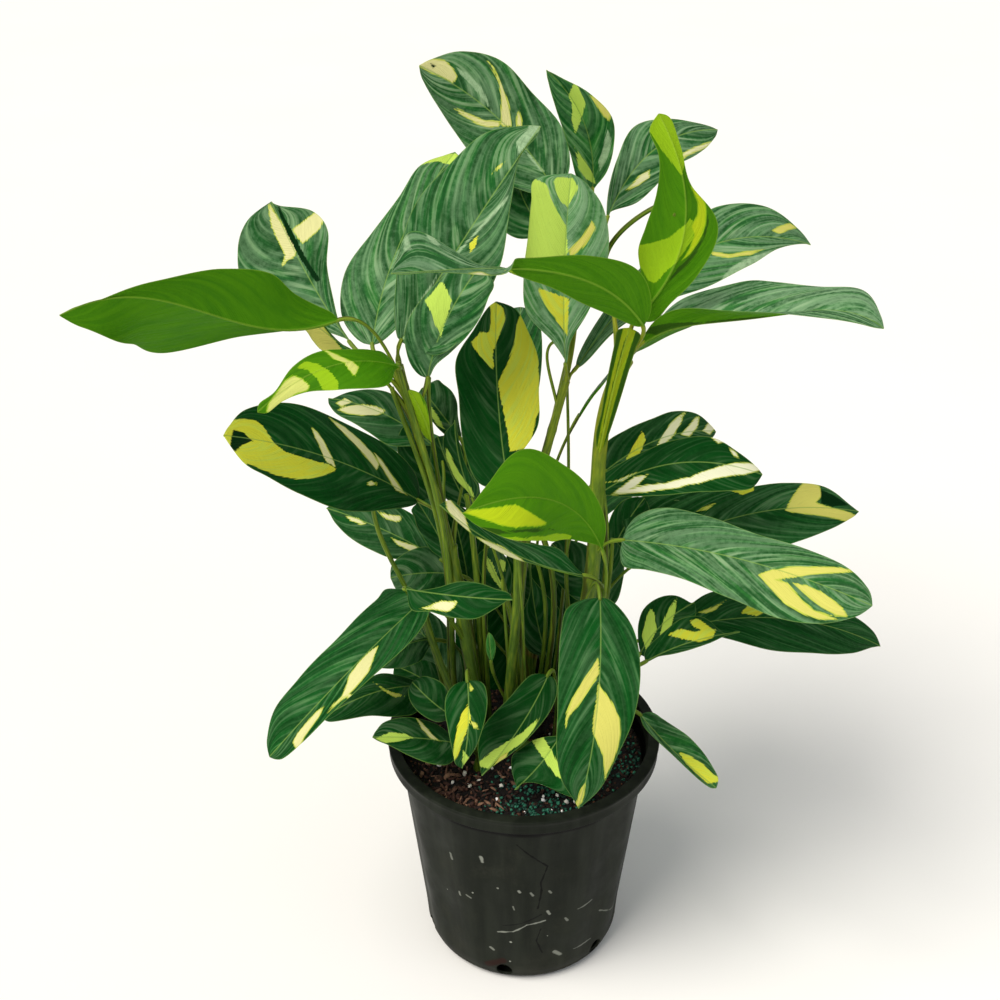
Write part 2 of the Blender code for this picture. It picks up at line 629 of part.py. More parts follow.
def build_leaf(name, leaf, collection):
    bm = bmesh.new()
    bmesh.ops.create_grid(bm, x_segments=BLADE_COLUMNS, y_segments=BLADE_ROWS, size=1.0)
    u = leaf_rows(BLADE_ROWS)
    v = np.linspace(-1.0, 1.0, BLADE_COLUMNS + 1)
    surface = leaf_surface(leaf, u, v)
    for vertex in bm.verts:
        row = round((vertex.co.y + 1) / 2 * BLADE_ROWS)
        column = round((vertex.co.x + 1) / 2 * BLADE_COLUMNS)
        vertex.co = surface[row, column]
    bmesh.ops.triangulate(bm, faces=bm.faces)
    mesh = bpy.data.meshes.new(name)
    bm.to_mesh(mesh)
    bm.free()
    mesh.shade_smooth()
    obj = add_mesh(name, mesh, collection)
    add_material(obj, "leaf")
    add_material(obj, "leaf_underside")
    solidify = obj.modifiers.new("thickness", "SOLIDIFY")
    solidify.thickness = BLADE_THICKNESS
    solidify.offset = 0.0
    solidify.material_offset = 1


def tube(name, points, radii, sides_level, collection):
    """A closed round tube along the points, made a mesh with its caps welded on."""
    curve = bpy.data.curves.new(name, "CURVE")
    curve.dimensions = "3D"
    curve.bevel_depth = 1.0
    curve.bevel_resolution = sides_level
    curve.use_fill_caps = True
    spline = curve.splines.new("POLY")
    spline.points.add(len(points) - 1)
    for point, place, radius in zip(spline.points, points, radii):
        point.co = (*place, 1.0)
        point.radius = radius
    guide = bpy.data.objects.new(name + "_curve", curve)
    collection.objects.link(guide)
    mesh = evaluated_mesh(guide)
    bm = bmesh.new()
    bm.from_mesh(mesh)
    bmesh.ops.remove_doubles(bm, verts=bm.verts, dist=1e-6)
    bmesh.ops.recalc_face_normals(bm, faces=bm.faces)
    bm.to_mesh(mesh)
    bm.free()
    obj = add_mesh(name, mesh, collection)
    obj.matrix_world = guide.matrix_world
    bpy.data.objects.remove(guide, do_unlink=True)
    return obj


def build_shoot(name, shoot, collection):
    """The buried foot, the cane if it has one, and a petiole to each of its leaves, grown together."""
    foot = np.array([*shoot["foot"], SOIL_TOP])
    centre = foot + (0.0, 0.0, (FOOT_ABOVE - FOOT_DEPTH) / 2)
    obj = round_bar(name, shoot["foot_radius"], FOOT_DEPTH + FOOT_ABOVE, FOOT_SIDES, collection, centre)
    pieces = new_collection(name + "_pieces")
    low = foot - (0.0, 0.0, CANE_SINK)
    cane = None
    if "cane" in shoot:
        cane = [tuple(low)] + shoot["cane"]
        places, _ = curve_through(cane, np.linspace(0.0, 1.0, CANE_POINTS))
        radii = np.linspace(*shoot["cane_radius"], CANE_POINTS)
        tube(name + "_cane", places, radii, CANE_SIDES_LEVEL, pieces)
    t = np.linspace(0.0, 1.0, PETIOLE_POINTS)
    radii = np.linspace(PETIOLE_FOOT_RADIUS, PETIOLE_RADIUS, PETIOLE_POINTS)
    for leaf_name, leaf in LEAVES.items():
        if leaf["shoot"] != name:
            continue
        base, along = curve_through(leaf["midrib"], np.array([0.0]))
        end = base[0] - along[0] * PETIOLE_GAP
        start, way = low, np.array([0.0, 0.0, 1.0])
        if cane:
            places, ways = curve_through(cane, np.array([leaf["start"]]))
            start, way = places[0], ways[0]
        places = bezier(start, way, end, along[0], t)
        tube(leaf_name + "_petiole", places, radii, PETIOLE_SIDES_LEVEL, pieces)
    boolean(obj, pieces, "UNION")
    for piece in list(pieces.objects):
        bpy.data.objects.remove(piece, do_unlink=True)
    bpy.data.collections.remove(pieces)
    obj.data.materials.clear()
    add_material(obj, "shoot")
    shade(obj)


def main():
    clear_scene()
    part = new_collection(PART_NAME)
    cutters = new_collection("cutters")
    cutters.hide_render = True
    build_pot(part, cutters)
    build_soil(part, cutters)
    for name, shoot in SHOOTS.items():
        build_shoot(name, shoot, part)
    for name, leaf in LEAVES.items():
        build_leaf(name, leaf, part)


main()
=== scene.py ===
import math
import bpy
import numpy as np
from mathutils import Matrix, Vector


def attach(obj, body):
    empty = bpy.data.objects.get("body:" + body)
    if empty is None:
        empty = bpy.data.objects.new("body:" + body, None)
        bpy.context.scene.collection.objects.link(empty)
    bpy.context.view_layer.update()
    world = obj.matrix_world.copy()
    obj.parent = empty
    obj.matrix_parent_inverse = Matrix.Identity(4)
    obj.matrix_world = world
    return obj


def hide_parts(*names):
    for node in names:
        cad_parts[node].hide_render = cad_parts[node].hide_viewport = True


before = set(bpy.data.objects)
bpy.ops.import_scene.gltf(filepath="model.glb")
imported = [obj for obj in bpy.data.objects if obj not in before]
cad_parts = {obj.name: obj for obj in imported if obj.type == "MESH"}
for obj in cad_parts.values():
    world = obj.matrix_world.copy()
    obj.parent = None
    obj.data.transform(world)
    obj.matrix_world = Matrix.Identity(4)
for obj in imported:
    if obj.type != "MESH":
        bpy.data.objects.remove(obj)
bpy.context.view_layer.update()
print("frame loaded:", len(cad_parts), "nodes")

tau = 2 * math.pi
mm = 0.001
percent = 0.01


def rowsOf(text, unitSize):
    # "1,2 3,4" to rows of numbers in the unit given, mm or percent; dividing keeps every last digit
    return np.array([[float(value) for value in place.split(",")] for place in text.split()]) / round(1 / unitSize)


def srgb(code):
    # "#rrggbb" to linear red, green, blue, alpha
    values = [int(code[place:place + 2], 16) / 255 for place in (1, 3, 5)]
    return (*(v / 12.92 if v <= 0.04045 else ((v + 0.055) / 1.055) ** 2.4 for v in values), 1.0)


nodeHabits = {"MapRange": {"interpolation_type": "SMOOTHSTEP"}, "Mix": {"data_type": "RGBA"}}


def fill(node, values):
    # gives inputs, by name or number, their values: a number, a colour code or a socket to read
    for place, value in values.items():
        if isinstance(value, bpy.types.NodeSocket):
            node.id_data.links.new(value, node.inputs[place])
        else:
            node.inputs[place].default_value = srgb(value) if isinstance(value, str) else value


def addNode(tree, kind, *values, out=None, stops=(), **settings):
    # one node: its kind, with the operation after a dot; values for its inputs in their order; settings for
    # other inputs and for its properties by name; stops for a ramp's places and colours. Gives the output
    # named, all of them in a list, or else the first
    kind, _, operation = kind.partition(".")
    node = tree.nodes.new("ShaderNode" + kind)
    if operation:
        node.operation = operation
    for name, value in {**nodeHabits.get(kind, {}), **settings}.items():
        if name in node.inputs:
            fill(node, {name: value})
        else:
            setattr(node, name, value)
    fill(node, dict(zip([place for place, socket in enumerate(node.inputs) if socket.enabled], values)))
    for number, (position, code) in enumerate(stops):
        colours = node.color_ramp.elements
        stop = colours[number] if number < 2 else colours.new(position)
        stop.position = position
        stop.color = srgb(code)
    found = [socket for socket in node.outputs if socket.enabled]
    return found if out == "all" else node.outputs[out] if out else found[0]


def newMaterial(name):
    # a material, the function that adds nodes to it, and its shader
    material = bpy.data.materials.new(name)
    material.use_nodes = True
    tree = material.node_tree
    return material, lambda *values, **settings: addNode(tree, *values, **settings), tree.nodes["Principled BSDF"]


def chained(add, operation, first, *others):
    # the sum or the product of several sockets and numbers
    for other in others:
        first = add("Math." + operation, first, other)
    return first


def unit(vectors):
    return vectors / np.maximum(np.linalg.norm(vectors, axis=-1, keepdims=True), 1e-12)


def lengths(points):
    # the way along a line of points to each of them
    return np.concatenate([[0.0], np.cumsum(np.linalg.norm(np.diff(points, axis=0), axis=1))])


def ease(low, high, values):
    # 0 below low, 1 above high, and a smooth cubic between
    t = np.clip((values - low) / (high - low), 0.0, 1.0)
    return t * t * (3 - 2 * t)


def linkObject(name, data):
    thing = bpy.data.objects.new(name, data)
    bpy.context.scene.collection.objects.link(thing)
    return thing


def makePiece(name, points, faces, attributes=None, slots=None, materials=(), smooth=True):
    # a mesh object from arrays: points (n, 3), faces a list of index arrays (triangles or quads), attributes
    # one vector for each point, slots the material number of each face; turned outwards by its volume, the
    # sum of a . (b x c) over the triangles
    points = np.asarray(points, np.float32).reshape(-1, 3)
    faces = [np.asarray(part, np.int32) for part in faces]
    triangles = np.concatenate([part[:, [0, k, k + 1]] for part in faces for k in range(1, part.shape[1] - 1)])
    corners = points[triangles].astype(float)
    if np.einsum("ij,ij->i", corners[:, 0], np.cross(corners[:, 1], corners[:, 2])).sum() < 0:
        faces = [part[:, ::-1] for part in faces]
    sizes = np.concatenate([np.full(len(part), part.shape[1], np.int32) for part in faces])
    loops = np.concatenate([part.ravel() for part in faces])
    mesh = bpy.data.meshes.new(name)
    mesh.vertices.add(len(points))
    mesh.vertices.foreach_set("co", points.ravel())
    mesh.loops.add(len(loops))
    mesh.loops.foreach_set("vertex_index", loops)
    mesh.polygons.add(len(sizes))
    mesh.polygons.foreach_set("loop_start", np.concatenate([[0], np.cumsum(sizes)[:-1]]).astype(np.int32))
    mesh.update(calc_edges=True)
    for key, values in (attributes or {}).items():
        layer = mesh.attributes.new(key, "FLOAT_VECTOR", "POINT")
        layer.data.foreach_set("vector", np.asarray(values, np.float32).ravel())
    for material in materials:
        mesh.materials.append(material)
    if slots is not None:
        mesh.polygons.foreach_set("material_index", np.asarray(slots, np.int32))
    if smooth:
        mesh.shade_smooth()
    mesh.validate()
    return linkObject(name, mesh)


def closedFaces(rows, columns):
    # faces of a closed skin: quads between neighbouring rings of points, and a fan of triangles from the
    # first and the last ring to a pole each, which are the last two points
    row = np.arange(rows - 1)[:, None] * columns
    column = np.arange(columns)[None, :]
    beside = (column + 1) % columns
    quads = np.stack([row + column, row + beside, row + columns + beside, row + columns + column], axis=-1)
    ring = np.arange(columns)
    last = (rows - 1) * columns
    fans = [np.stack([np.full(columns, rows * columns), beside[0], ring], axis=-1),
            np.stack([ring + last, beside[0] + last, np.full(columns, rows * columns + 1)], axis=-1)]
    return [quads.reshape(-1, 4), np.concatenate(fans)]


def settle(piece, slot, *nodes):
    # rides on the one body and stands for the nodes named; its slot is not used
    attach(piece, "root")
    if nodes:
        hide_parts(*nodes)


# leaves: a closed blade with a raised midrib under it, worked out on a grid

leafLook = {
    "blade": 0.60 * mm,          # thickness inside each half
    "margin": 0.22 * mm,         # thickness at the edge
    "ribHeight": 1.5 * mm,       # how far the midrib stands out below, at the base
    "ribHalf": 1.5,              # and how wide it is to each side, in mm
    "groove": 0.45 * mm,         # depth of the line along the midrib above
    "grooveHalf": 0.9,           # and how wide it is to each side, in mm
    "pleat": 0.18 * mm,          # height of the ripples along the side veins
    "pleatStep": 6.8,            # and their spacing, in mm
    "endWidth": 1.0 * mm,        # least width, at the base and the tip
    "wave": 0.05,                # how far the margins wave, as a part of each half's width
    "veinLean": 0.20,            # half of how far towards the tip a side vein runs on its way out, of the length
    "fold": 12, "curl": -20,     # how far each half is folded up and curls down, in degrees, unless a leaf says
    "cell": 2.1 * mm,            # size of the mesh's cells
    "rows": (34, 104),           # least and most rows of them
    "columns": (9, 22),          # and columns in each half
    "sharp": 65,                 # angle in degrees past which an edge is sharp
    "markReach": 9,              # how far from a mark's outline its depth counts, in mm
    "markOver": 2,               # how far a mark that meets the margin goes on past it, in mm
    "seedStep": 37.0,            # how far apart two leaves lie in the noise
}

# every leaf: its shoot and how far up the cane it leaves it, its midrib from base to tip in mm, seven widths of
# its left half in mm and of its right half where that differs, the way its upper side faces at the base and at
# the tip, where a twist begins and ends, fold and curl in degrees, a look of its tone from dark to light, which
# holds painted shade as well as the leaf's own green, lower for leaves that sit in shade, its painted sky sheen,
# a grey-green reflection painted into the colour, and how chalky its cream is, and its marks: a letter for cream,
# gold, lime, dark or silver and an outline of places along and across in percent; some dark marks are painted
# shade. The inner leaves and the sheaths are only here: they fill the shaded middle, with dark tones that are
# painted shade, and close round the canes
leafForms = {
    "leaf_top_left": dict(shoot="shoot_middle", start=0.9, midrib="30,100,708 -14,130,763 -88,130,816",
        left="0.6 20.5 35 37.3 30.8 20 8.7", right="0.6 22.4 34.7 34.8 37.8 26.5 8.8",
        faces=[(-0.3, -0.55, 0.7), (-0.2, -0.8, 0.3)], fold=8, look=(0.42, 0.6, 0.35), marks=[
            "c 103,-6 96,86 91,74 86,44 82,24 82,1 88,0 94,-13",
            "d 96,53 93,39 94,16",
            "c 76,93 71,82 66,69 61,57 55,43 46,10 50,-11 55,15 59,36 64,56 70,72",
            "c 77,-61 71,-45 66,-37 58,-23 52,-1 50,-13 55,-32 61,-45 70,-57",
            "c 50,53 45,40 42,27 44,15 48,33",
            "s 85,51 78,42 69,28 61,10 58,1 65,10 74,20 82,33",
            "s 33,-6 28,0 18,5 19,-6 27,-10"]),
    "leaf_top_middle": dict(shoot="shoot_middle", start=0.8, midrib="53,70,731 47,70,780 14,60,830",
        left="10.6 16 18.3 18.7 17.3 12 4.9", right="3.5 12.4 19.2 23.3 15.2 5.7 1.5",
        faces=[(-0.3, -0.9, 0.3)], fold=(45, 15), look=(0.62, 0.24), marks=[
            "l 82,112 74,75 65,46 57,3 47,-57 60,-50 68,-18 76,-5",
            "c 70,87 64,112 56,112 46,90 53,74 61,78",
            "s 45,72 35,90 24,84 14,51 22,30 32,58",
            "l 38,-75 26,-51 16,-17 4,67 8,-46 18,-78"]),
    "leaf_top_right": dict(shoot="shoot_right", start=0.92, midrib="66,70,707 101,110,748 164,160,754",
        left="3.3 9.4 16.8 25.3 18.8 8.5 2.8", right="0.6 16.6 22.2 21.8 22.6 17.1 7.5",
        faces=[(0.2, -0.7, 0.7)], look=(0.42, 0.6, 0.6), marks=[
            "c 62,72 82,72 103,95 93,112 80,95 61,92",
            "c 59,112 71,112 85,112 73,112 58,112",
            "c 16,20 23,26 31,30 38,46 33,65 25,54"]),
    "leaf_twisted_upright": dict(shoot="shoot_right", start=0.97, midrib="86,-10,653 118,-20,728 95,-10,816",
        left="12.2 13.3 21 27.5 5.9 6.1 7.6", right="0.6 15.9 30.2 29.8 21.9 14.1 12.8",
        faces=[(0.25, 0.95, 0), (-0.5, 0.8, 0)], fold=15, look=(0.55, 0), marks=[
            "l 103,112 103,-112 96,-112 88,-112 80,-112 74,3 81,35 88,77 95,90 98,112",
            "l 33,112 39,70 43,36 49,11 54,-16 51,-35 45,-31 39,-20 32,-2 26,13 18,32 17,66 20,89 25,112",
            "c 69,-79 64,-112 58,-90 51,-66 45,-54 38,-41 32,-19 41,-28 46,-31 50,-17 55,-42 60,-62",
            "d 58,-96 51,-75 44,-64 36,-53 28,-34 20,-9 29,-15 38,-41 45,-57 51,-66"]),
    "leaf_twisted_left": dict(shoot="shoot_right", start=0.99,
        midrib="90,-25,653 46,-55,701 -30,-105,732 -96,-150,746", left="15.6 26.5 19.3 9.5 6 1.5 1.5",
        right="7.7 14.3 16.6 9 3 36 12", faces=[(0, 0.8, -0.4), (0, -0.6, 0.8)], twist=(0.52, 0.7),
        look=(0.5, 0.85, 0.7), marks=[
            "s 88,112 86,112 84,112 81,112 80,75 83,66 83,112 86,112 89,93 90,60 93,78",
            "c 75,-89 71,-47 65,-112 58,112 54,112 66,-112 70,-112"]),
    "leaf_right_upper": dict(shoot="shoot_middle", start=0.99, midrib="42,30,591 141,80,674 250,140,658",
        left="5 9 13 20.9 34.8 31.5 12.3", right="5 9 20.8 33.7 28.4 11.3 2", faces=[(0.1, -0.6, 0.8)],
        look=(0.55, 0.7), marks=[
            "s 49,112 60,82 76,81 91,112 103,-21 90,112 76,112 61,112",
            "c 84,-18 88,-39 93,-86 96,-89 91,-34 88,-13",
            "c 57,15 63,45 72,56 79,72 71,72 62,56 57,33"]),
    # its dark mark on the right half, which folds down away from the light, is painted shade
    "leaf_right_level": dict(shoot="shoot_right", start=0.95,
        midrib="93,-5,630 135,-22,654 177,-45,669 225,-70,685 261,-90,679",
        left="6.6 46.4 63.6 51.3 43 38 12.2", right="7 17 24 26 23 15 7", faces=[(0.1, -0.25, 1)],
        fold=(8, 92, 8, 5), curl=(-12, -10, -25, -20), look=(0.5, 0.98), marks=[
            "d 0,112 26,5 48,10 57,0 42,0 25,0 6,0"]),
    "leaf_middle_upright": dict(shoot="shoot_middle", start=0.99, midrib="32,15,600 29,10,677 33,20,761",
        left="0.6 9.9 29.9 32.6 30 29.1 27.5", right="2.1 5.4 20 31.7 34 27.3 12.4", faces=[(0, -0.95, 0.3)],
        fold=12, look=(0.85, 1.1), marks=[
            "l 97,-112 98,-112 94,-60 88,-47 82,-26 75,-1 62,7 58,-1 55,-95 77,-112 91,-112",
            "l 96,-46 98,-37 98,13 94,40 90,21 84,-2 87,-23 92,-37",
            "c 79,63 75,71 66,45 59,12 63,7 71,38",
            "g 45,-69 38,17 17,41 28,-27 36,-48"]),
    "leaf_left_tall": dict(shoot="shoot_left", start=0.99, midrib="-101,-15,635 -52,0,712 9,30,795",
        left="10.1 24.7 40.6 48.1 43.4 34 12", right="30.3 41.2 40.7 34.9 16.5 1.3 2.3",
        faces=[(-0.1, -0.75, 0.6)], fold=10, look=(0.34, 0.4, 0.4), marks=[
            "s 90,-32 96,-46 103,-72 103,112 98,58 94,-2 90,-1 86,-3",
            "s 37,-5 50,11 63,32 72,78 70,80 60,36 48,14 35,4",
            "s 1,2 10,-24 18,-13 27,-7 32,-8 27,-3 18,-4 10,-9 2,7",
            "c 83,-15 78,-18 74,-23 78,-25",
            "g 53,26 48,33 45,28 48,17"]),
    "leaf_left_tall_rear": dict(shoot="shoot_left", start=0.93, midrib="-127,20,616 -108,70,678 -59,110,750",
        left="16.8 33.3 38.8 27.3 20.8 19.4 5.7", right="13.2 28.7 40.1 45.1 44 34.7 29.4",
        faces=[(-0.3, -0.7, 0.6)], look=(0.5, 0.6), marks=[
            "l 83,-112 89,-112 95,-112 103,30 94,12 92,-65 87,-96"]),
    "leaf_left_inner": dict(shoot="shoot_left", start=0.8, midrib="-80,-20,605 -63,-28,661 -37,-22,702",
        left="10.1 19.7 26.9 26.2 21.6 17.2 15.6", right="2 4.8 13.7 20.5 22.8 19.7 16.5",
        faces=[(0, -0.8, 0.5)], look=(0.42, 0.42), marks=[
            "l 76,-91 73,-53 68,-15 59,-4 48,1 38,11 48,-31 54,-57 58,-88 66,-87"]),
    "leaf_far_left": dict(shoot="shoot_left", start=0.88,
        midrib="-149,-20,656 -222,-50,667 -275,-80,698 -339,-110,698", left="13 28 44 35.6 14.4 1.1 0.7",
        right="2.3 0.6 18.3 61.8 46.5 32.2 14.3", faces=[(0, 1, -0.05)], fold=(10, 55, 10, 5),
        curl=(-10, -10, 0, -15), look=(0.45, 0)),
    "leaf_far_left_rear": dict(shoot="shoot_left", start=0.84, midrib="-144,10,623 -185,70,662 -213,100,711",
        left="0.9 9.5 24 41.3 52.8 42.9 24.8", right="1 2.2 9.1 18.3 33.5 28.4 4.9", faces=[(-0.2, -0.8, 0.5)],
        look=(0.38, 0.5, 0.4), marks=[
            "c 103,-9 92,-1 83,7 75,9 70,12 66,-5 66,-19 64,-32 70,-17 80,-19 88,-22",
            "c 85,112 80,112 73,86 71,57 70,27 77,21 81,19 82,53 83,83",
            "d 103,54 96,68 79,19 65,20 45,52 46,21 65,4 80,2"]),
    "leaf_top_rear": dict(shoot="shoot_middle", start=0.84, midrib="21,110,677 -5,140,708 -6,170,753",
        left="3.7 22.2 28.9 23 20.2 16.8 15.6", right="5.1 18 27.6 32.8 33.9 30.9 28.3", faces=[(0, -0.8, 0.5)],
        look=(0.3, 0.21)),
    "leaf_left_arched": dict(shoot="shoot_left", start=0.97, midrib="-103,-30,619 -149,-60,635 -208,-80,605",
        left="16.4 14.9 13.6 16.2 12 3.5 4.1", right="5.2 23.5 28.4 21.4 11.5 6.4 5.5",
        faces=[(-0.1, 0.3, -0.9), (-0.4, 0.5, -0.6)], fold=-8, curl=15, look=(0.45, 0.07, 1), marks=[
            "c 49,-112 39,-51 33,-11 30,20 37,64 38,32 39,1 45,-38",
            "l 68,-74 62,-82 55,-35 50,21 48,69 52,112 60,96 60,30 63,-31",
            "c 92,1 84,-69 78,-80 72,-55 68,-1 66,64 69,93 77,94 86,112 95,112 98,112 96,55"]),
    "leaf_left_broad": dict(shoot="shoot_left", start=0.62, midrib="-93,20,469 -165,-30,539 -234,-90,590",
        left="9.6 21.9 36.5 47.7 42.6 35.5 26.7", right="17.9 29 36 40.1 39.9 29.2 9.4",
        faces=[(-0.1, -0.6, 0.8)], look=(0.14, 0.02, 0.5), marks=[
            "g 103,112 95,112 89,76 84,59 81,41 79,16 76,-6 73,-18 66,-19 57,-18 50,-15 47,-21 54,-41 63,-61 "
            "71,-74 80,-84 88,-89 95,-92 98,-112 103,-112",
            "d 103,-81 95,51 91,25 87,-6 94,-30 103,-83",
            "c 103,-38 94,7 91,-10 96,-21",
            "c 47,-19 48,4 52,27 55,46 59,58 57,33 54,11 52,-11",
            "c 50,96 41,89 34,72 28,54 24,36 25,16 31,34 38,57 44,74",
            "c 28,61 23,49 17,27 11,7 6,-15 13,-18 20,18 25,39",
            "c 31,-33 28,-18 24,-21 28,-35"]),
    "leaf_left_broad_rear": dict(shoot="shoot_left", start=0.6, midrib="-78,50,504 -124,80,522 -177,110,523",
        left="0.6 12.7 24.1 23.1 18.9 15.3 7.1", right="2.9 0.6 6.4 19.9 17.8 10.4 0.6",
        faces=[(-0.1, -0.5, 0.8)], look=(0.22, 0.21, 0.6), marks=[
            "c 92,-39 86,30 78,6 85,-48",
            "c 88,-82 79,-24 70,8 59,18 49,19 53,-20 64,-52 77,-71"]),
    "leaf_left_lower_rear": dict(shoot="shoot_left_low", midrib="-75,50,388 -128,70,408 -184,100,414",
        left="0.6 6.9 21 23.6 20.1 12.4 3.2", right="0.9 13.5 24.6 26.5 21.1 13.8 6.1",
        faces=[(-0.1, -0.5, 0.8)], look=(0.18, 0.17, 0.6), marks=[
            "c 82,-10 72,5 63,-6 67,-23 76,-29",
            "c 42,-17 32,-15 22,-1 13,-29 24,-48 34,-37",
            "c 63,60 51,58 42,75 41,47 51,37"]),
    "leaf_lower_left_drooping": dict(shoot="shoot_left_low", midrib="-86,0,383 -135,-60,365 -217,-120,299",
        left="9 21.9 25.7 23 17.3 15.9 11.9", right="37.4 36 37.1 33.7 31.7 30.2 14.6",
        faces=[(-0.45, -0.5, 0.6)], fold=12, look=(0.3, 0.1, 0.4), marks=[
            "c 35,-14 42,-49 47,-74 52,-82 57,-88 61,-88 68,-84 72,-85 67,-69 62,-70 57,-42 53,-15 45,-3 39,-4",
            "c 61,-84 59,-86 58,-112 61,-112",
            "c 69,-40 74,-65 79,-75 84,-87 90,-112 89,-56 85,-33 80,-31 74,-30"]),
    "leaf_lower_left_cross": dict(shoot="shoot_left", start=0.2,
        midrib="-101,-90,450 -54,-105,452 -12,-110,452", left="2.1 0.6 5.1 12.2 12.9 8.6 5.8",
        right="0.6 17.6 16.3 19.1 18.5 8.4 0.6", faces=[(0.1, -0.6, 0.8)], arrive=0.06,
        look=(0.08, 0.03, 0.6), marks=[
            "c 20,87 29,66 37,36 53,23 51,57 46,79 37,86 29,92"]),
    "leaf_lower_left_small": dict(shoot="shoot_left_low", midrib="-81,10,328 -108,0,329 -134,-10,311",
        left="0.6 10.6 19.4 21.3 18.1 11.3 3.5", right="1.5 2.5 1.3 1.5 1.5 1.3 1.1", faces=[(-0.2, -0.6, 0.8)],
        look=(0.2, 0.17)),
    "leaf_low_left": dict(shoot="shoot_left_low", midrib="-76,10,271 -126,-20,294 -182,-40,277",
        left="2 1.6 27.3 30.4 20.2 14.1 7.7", right="2.6 0.6 10.1 16.9 9.8 3.5 0.6", faces=[(-0.1, -0.5, 0.9)],
        look=(0.12, 0.1), marks=[
            "c 58,78 52,18 46,-17 36,-36 46,-37 52,-4"]),
    "leaf_low_left_round": dict(shoot="shoot_front_left", midrib="-60,-50,285 -83,-60,313 -99,-50,325",
        left="1.9 2.1 10.8 14 14.6 12.2 6.8", right="2.6 0.6 9.8 15.9 17.8 15 10.1", faces=[(-0.2, -0.6, 0.8)],
        look=(0.06, 0.08), marks=[
            "l 81,-112 65,-112 51,-112 25,-112 48,-112 62,-112"]),
    "leaf_rim_left": dict(shoot="shoot_front_left", midrib="-56,-50,255 -96,-80,287 -131,-100,304",
        left="0.6 15.2 24.6 25.8 17.6 8.9 3.8", right="0.6 8.8 17.7 19.8 18.8 14.6 5.4",
        faces=[(-0.1, -0.5, 0.9)], look=(0.1, 0.1, 0.4), marks=[
            "l 98,-33 83,29 71,21 59,-1 75,-27 90,-90",
            "c 53,112 44,69 38,27 28,-6 40,2 49,45"]),
    "leaf_low_hanging": dict(shoot="shoot_front_left", midrib="-50,-70,342 -49,-100,317 -55,-100,270",
        left="12.6 16.1 15.4 12 8.3 3.4 0.6", right="12 19.1 20.3 17.3 13.4 9.5 6.3", faces=[(0, -0.9, 0.4)],
        look=(0.1, 0.03), marks=[
            "g 23,2 37,-15 51,5 65,30 82,58 98,112 69,80 48,54 32,28",
            "c 39,2 42,-48 49,-84 48,-40",
            "l 74,20 86,-112 98,-112 91,16",
            "c 3,-11 10,-39 11,-10"]),
    "leaf_low_middle": dict(shoot="shoot_front", midrib="21,-30,318 -6,-70,288 -38,-90,253",
        left="9.5 15.3 15.9 12.9 8.1 2.6 0.6", right="13.3 18.5 22.4 26.2 26.8 19.9 6.3",
        faces=[(-0.3, -0.7, 0.5)], look=(0.02, 0.03), marks=[
            "l 98,112 86,43 77,26 65,6 55,-30 40,-60 33,-69 46,-90 59,-90 70,-66 81,-29 92,-64",
            "c 96,-112 87,-83 79,-16 71,-58 79,-112 88,-112"]),
    "leaf_low_soil": dict(shoot="shoot_front", midrib="31,-70,282 13,-80,257 -9,-90,237",
        left="1.7 12.9 28.6 42.7 12 0.6 1.5", right="2.8 11.2 18.4 21.9 23.2 14.5 0.6",
        faces=[(-0.2, -0.8, 0.6)], look=(0.12, 0.06), marks=[
            "l 29,112 14,112 27,-19 39,-52 47,-74 46,-30 38,31"]),
    "leaf_front_hanging": dict(shoot="shoot_front", midrib="62,-60,421 59,-120,359 45,-130,251",
        left="14.9 28.8 33.9 31 22.2 14.5 4.5", right="26.3 33.3 34.6 32.9 29.6 20.5 4.9",
        faces=[(0, -0.95, 0.4)], fold=10, look=(0.25, 0.1), marks=[
            "c 25,6 32,0 36,11 42,31 48,51 52,68 59,78 51,78 44,65 36,42 30,22",
            "c 36,3 40,-16 45,-39 51,-63 58,-78 65,-89 72,-93 79,-91 86,-112 76,-66 69,-41 64,-13 59,6 51,9 44,5",
            "c 84,-2 91,-18 96,-30 103,58 93,31 88,14"]),
    "leaf_rim_right": dict(shoot="shoot_front", midrib="106,-20,266 136,-60,253 169,-90,239",
        left="10.3 14.6 18.4 20.1 18.8 13.5 7.9", right="2.2 5.6 4.8 3.8 4.1 4.4 3.4", faces=[(0.3, -0.6, 0.6)],
        look=(0.38, 0.28), marks=[
            "g 52,-14 63,-36 77,-57 91,-72 103,-112 92,50 81,35 66,29"]),
    "leaf_low_right_curled": dict(shoot="shoot_right_low", midrib="107,20,304 129,20,341 154,20,362",
        left="0.9 7.9 16.7 22.2 20.6 13.6 1.2", right="8 12.2 15.9 17.2 16.5 14.1 9.2",
        faces=[(-0.2, -0.7, 0.6), (0.1, -0.7, 0.7)], look=(0.1, 0.07), marks=[
            "l 56,-86 41,-66 23,-58 1,112 20,29 41,1 53,-48",
            "l 39,36 54,-5 69,-33 83,-74 89,-112 74,-8 61,37 46,70"]),
    "leaf_low_right_striped": dict(shoot="shoot_right_low", midrib="108,-20,325 146,-25,350 189,-25,361",
        left="8.4 13.3 18.3 23.1 19.6 0.6 1.3", right="1.1 1.5 5.1 6.8 5.8 2 1", faces=[(0.1, -0.5, 0.8)],
        look=(0.12, 0.08), marks=[
            "g 55,-81 63,-90 69,-69 76,-43 65,-36 58,-54",
            "g 30,-77 45,-63 58,-33 79,-76 74,34 60,38 44,-22"]),
    "leaf_low_right_long": dict(shoot="shoot_right_low", midrib="111,60,292 239,90,297 356,110,249",
        left="0.6 11.3 32.1 23.8 21.9 22 13", right="3.4 0.6 21 38.3 36.1 23.4 5.9", faces=[(0.1, -0.4, 0.9)],
        look=(0.2, 0.07), marks=[
            "g 39,-17 43,-49 46,-44 49,-24 45,-6",
            "c 23,-47 29,-47 35,-64 30,-34 26,-31"]),
    "leaf_right_big": dict(shoot="shoot_right", start=0.5, midrib="82,-20,453 179,-70,464 274,-120,453",
